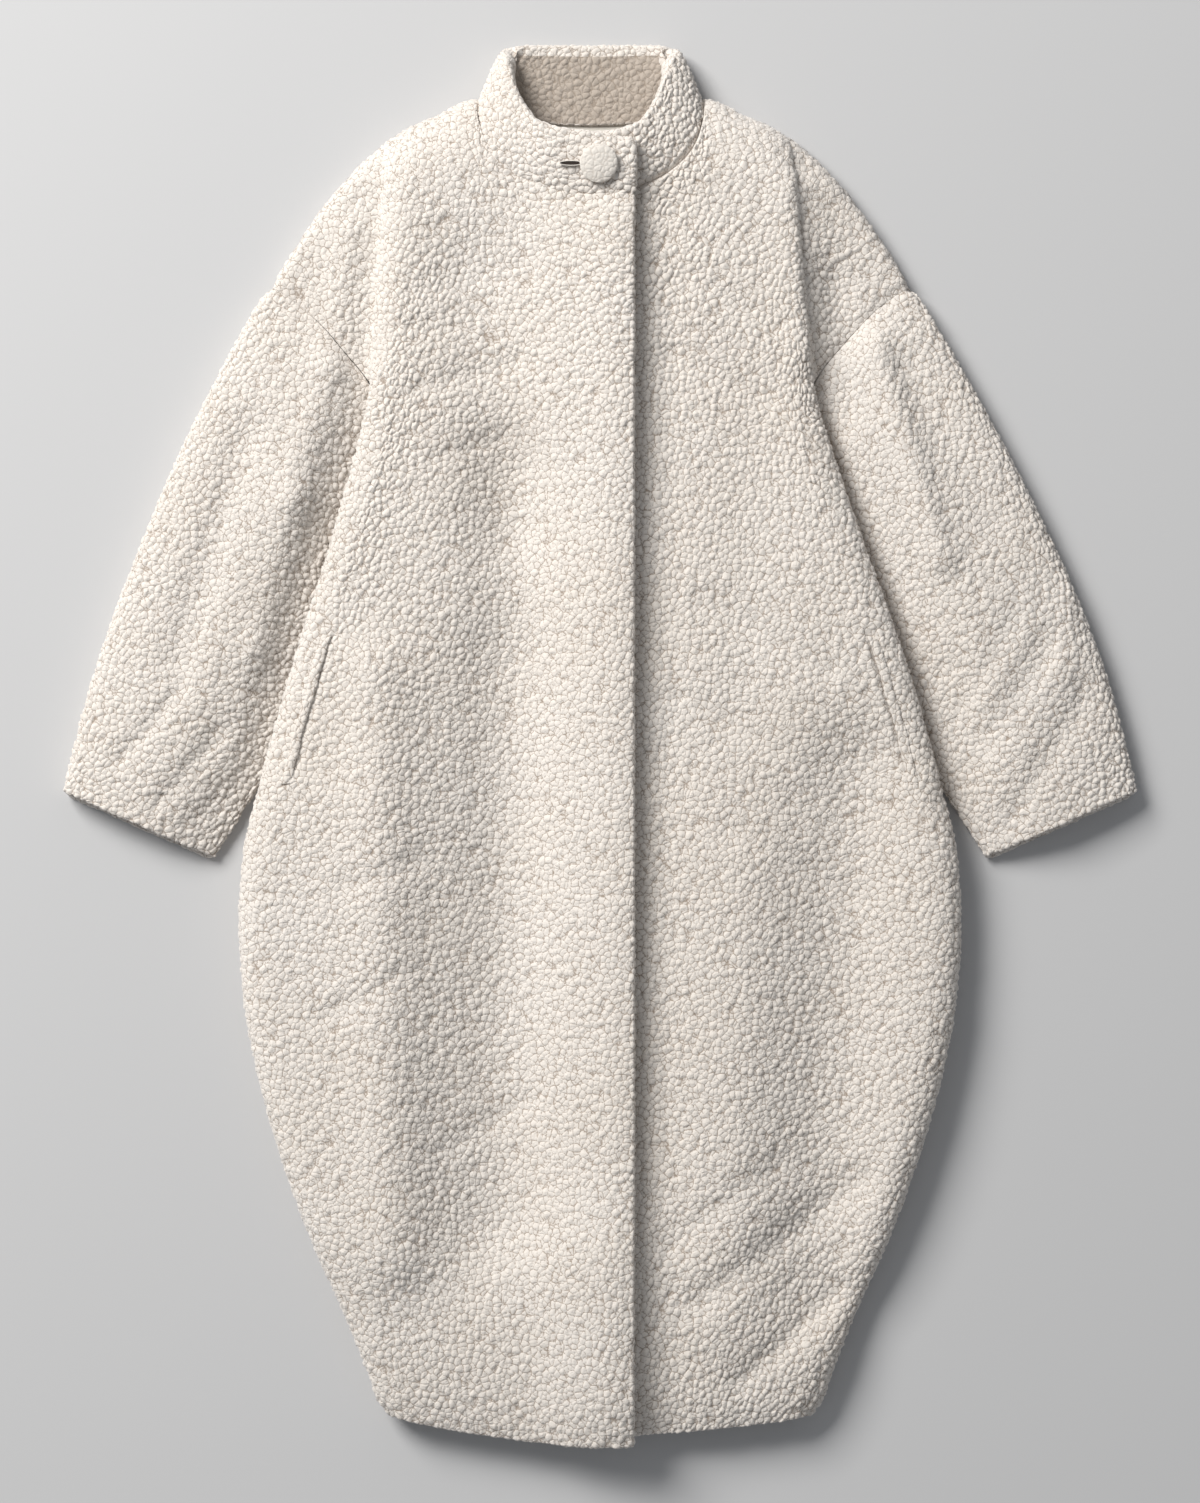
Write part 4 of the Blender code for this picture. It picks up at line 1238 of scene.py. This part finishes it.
def place_on_collar(obj, at, lift):
    """Turns a piece that lies along X and Y to the collar's face at a place, and applies it."""
    turns = np.array([-1.05, -0.965, -0.93])
    rises = np.linspace(0, 1, 201)
    grid = collar_surface(turns, rises)
    row = int(np.argmin(np.abs(grid[:, 1, 1] - at[1])))
    along = Vector(grid[row + 20, 1] - grid[row - 20, 1])
    across = Vector(grid[row, 0] - grid[row, 2])
    normal = across.cross(along).normalized()
    seat = Vector((at[0], at[1], grid[row, 1, 2])) + normal * lift
    level = (Vector((1, 0, 0)) - normal * normal.x).normalized()
    turned = Matrix((level, normal.cross(level), normal)).transposed().to_4x4()
    obj.matrix_world = Matrix.Translation(seat * MM) @ turned @ obj.matrix_world
    select(obj)
    bpy.ops.object.transform_apply(location=True, rotation=True, scale=True)


def keep_rest(obj):
    """Records where each point lies, for the cloth's pattern to read."""
    kept = obj.data.attributes.new("rest", "FLOAT_VECTOR", "POINT")
    for vertex, value in zip(obj.data.vertices, kept.data):
        value.vector = vertex.co


def make_button(name, material):
    """A button covered in the cloth, which is stretched flatter over its low dome."""
    bpy.ops.mesh.primitive_uv_sphere_add(segments=112, ring_count=64, radius=1)
    obj = bpy.context.object
    obj.name = name
    half = BUTTON_THICKNESS / 2
    for vertex in obj.data.vertices:
        x, y, z = vertex.co
        radius = min(1.0, math.hypot(x, y))
        flat = math.copysign(abs(z) ** 0.42, z)
        dome = BUTTON_DOME * (1 - radius**2) if z > 0 else 0.0
        edge = BUTTON_RADIUS * (radius**0.8 / max(radius, 1e-6) if radius > 0 else 0.0)
        z = half + (half - BUTTON_EDGE) * flat + dome
        vertex.co = Vector((x * edge, y * edge, z)) * MM
    place_on_collar(obj, BUTTON_AT, BUTTON_LIFT)
    keep_rest(obj)
    points = np.array([vertex.co for vertex in obj.data.vertices]) / MM
    height = nub_height(points) * BUTTON_NUBS
    for vertex, rise in zip(obj.data.vertices, height):
        vertex.co += vertex.normal * float(rise) * MM
    obj.data.materials.append(material)
    obj.data.shade_smooth()
    return obj


def make_buttonhole(name, thread, shade):
    """The worked buttonhole that the button comes through: two lips of thread round a near-black oval,
    a painted shadow in its opening.
    """
    bpy.ops.mesh.primitive_torus_add(
        major_segments=64, minor_segments=12, major_radius=1.0, minor_radius=LIP_RING
    )
    obj = bpy.context.object
    obj.name = name
    for vertex in obj.data.vertices:
        x, y, z = vertex.co
        ring = math.hypot(x, y)
        tube = (ring - 1.0) / LIP_RING
        along = x / ring * (SLIT_HALF[0] + LIP_HALF[0] * tube)
        across = y / ring * (SLIT_HALF[1] + LIP_HALF[1] * tube)
        vertex.co = Vector((along, across, LIP_HALF[2] * z / LIP_RING)) * MM
    obj.data.materials.append(thread)
    # Painted shadow: a near-black oval laid in the opening between the lips, where there is only shade.
    bpy.ops.mesh.primitive_circle_add(vertices=48, radius=1, fill_type="NGON")
    gap_shade = bpy.context.object
    gap_shade.scale = (SLIT_HALF[0] * MM, SLIT_HALF[1] * MM, 1.0)
    gap_shade.location = (0, 0, 0.3 * MM)
    bpy.ops.object.transform_apply(location=True, rotation=True, scale=True)
    gap_shade.data.materials.append(shade)
    select(gap_shade, obj)
    bpy.ops.object.join()
    place_on_collar(obj, BUTTONHOLE_AT, BUTTONHOLE_LIFT)
    keep_rest(obj)
    obj.data.shade_smooth()
    return obj


def stand_for(piece, node):
    """Puts a piece in the place of one of the frame's solids."""
    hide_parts(node)
    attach(piece, "root")


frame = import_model()
bpy.ops.object.select_all(action="DESELECT")
NUB_READER = nub_reader()

# The first colour of each boucle is the painted shade of the gaps between the nubs; the second is the
# curls' colour.
boucle = boucle_material("boucle", rgb(0.34, 0.27, 0.215), rgb(0.82, 0.772, 0.724))
# Painted shade: the collar's inside takes a copy of the boucle that is darker all over, for the shade
# inside the standing collar.
boucle_inside_shade = boucle_material("boucle_inside_shade", rgb(0.32, 0.26, 0.21), rgb(0.49, 0.43, 0.375))
# The button's first colour is the painted shade between the nubs of its cover.
cover = boucle_material("button_cover", rgb(0.62, 0.565, 0.51), rgb(0.77, 0.73, 0.68), 0.4)
# Painted shadow: the near-black sheet in the buttonhole's opening stands for its shade.
slit_shade = plain_cloth("slit_shade", rgb(0.03, 0.02, 0.015), 900.0, 0.0002, 0.9)
facing = plain_cloth("facing", rgb(0.80, 0.76, 0.69), 900.0, 0.0003, 0.55)

SIDED_PIECES = [
    ("cloth_front_right", "front_right", make_front, -1),
    ("cloth_front_left", "front_left", make_front, 1),
    ("cloth_sleeve_right", "sleeve_right", make_sleeve, -1),
    ("cloth_sleeve_left", "sleeve_left", make_sleeve, 1),
]
WELTS = [("welt_right", "pocket_welt_right", -1), ("welt_left", "pocket_welt_left", 1)]
for piece_name, node, maker, side in SIDED_PIECES:
    stand_for(maker(piece_name, side, boucle), node)
stand_for(make_back("cloth_back", boucle), "back")
stand_for(make_collar("cloth_collar", boucle, boucle_inside_shade), "collar")
for piece_name, node, side in WELTS:
    stand_for(make_welt(piece_name, side, boucle), node)

for cut in CUTS:
    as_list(cut.rests_on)

stand_for(make_button("covered_button", cover), "button")
buttonhole = make_buttonhole("buttonhole", cover, slit_shade)
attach(buttonhole, "root")

frame["nodes"]["back_neck_facing"].data.materials.clear()
frame["nodes"]["back_neck_facing"].data.materials.append(facing)

bpy.ops.mesh.primitive_plane_add(size=8, location=(0, 0, FLOOR_Z))
floor = bpy.context.object
floor.name = "floor"
floor.data.materials.append(floor_material())

world_light = bpy.data.worlds.new("studio")
world_light.use_nodes = True
background = world_light.node_tree.nodes["Background"]
background.inputs["Color"].default_value = rgb(0.93, 0.96, 1.0)
background.inputs["Strength"].default_value = 0.265
bpy.context.scene.world = world_light


def aim_lamp(name, energy, size, place, target, colour):
    lamp = bpy.data.lights.new(name, "AREA")
    lamp.energy = energy
    lamp.size = size
    lamp.color = colour
    obj = bpy.data.objects.new(name, lamp)
    bpy.context.scene.collection.objects.link(obj)
    obj.location = place
    obj.rotation_euler = (Vector(target) - Vector(place)).to_track_quat("-Z", "Y").to_euler()
    return obj


aim_lamp("key", 322.0, 2.4, (-2.75, 2.9, 3.2), (0.0, 0.0, 0.0), (1.0, 0.985, 0.96))

camera_data = bpy.data.cameras.new("camera")
camera_data.sensor_fit = "VERTICAL"
camera_data.sensor_height = 36.0
camera_data.lens = 100.0
camera = bpy.data.objects.new("camera", camera_data)
bpy.context.scene.collection.objects.link(camera)
camera.location = (0.0, -0.0063, 3.553)
bpy.context.scene.camera = camera
bpy.context.scene.view_settings.view_transform = "Standard"
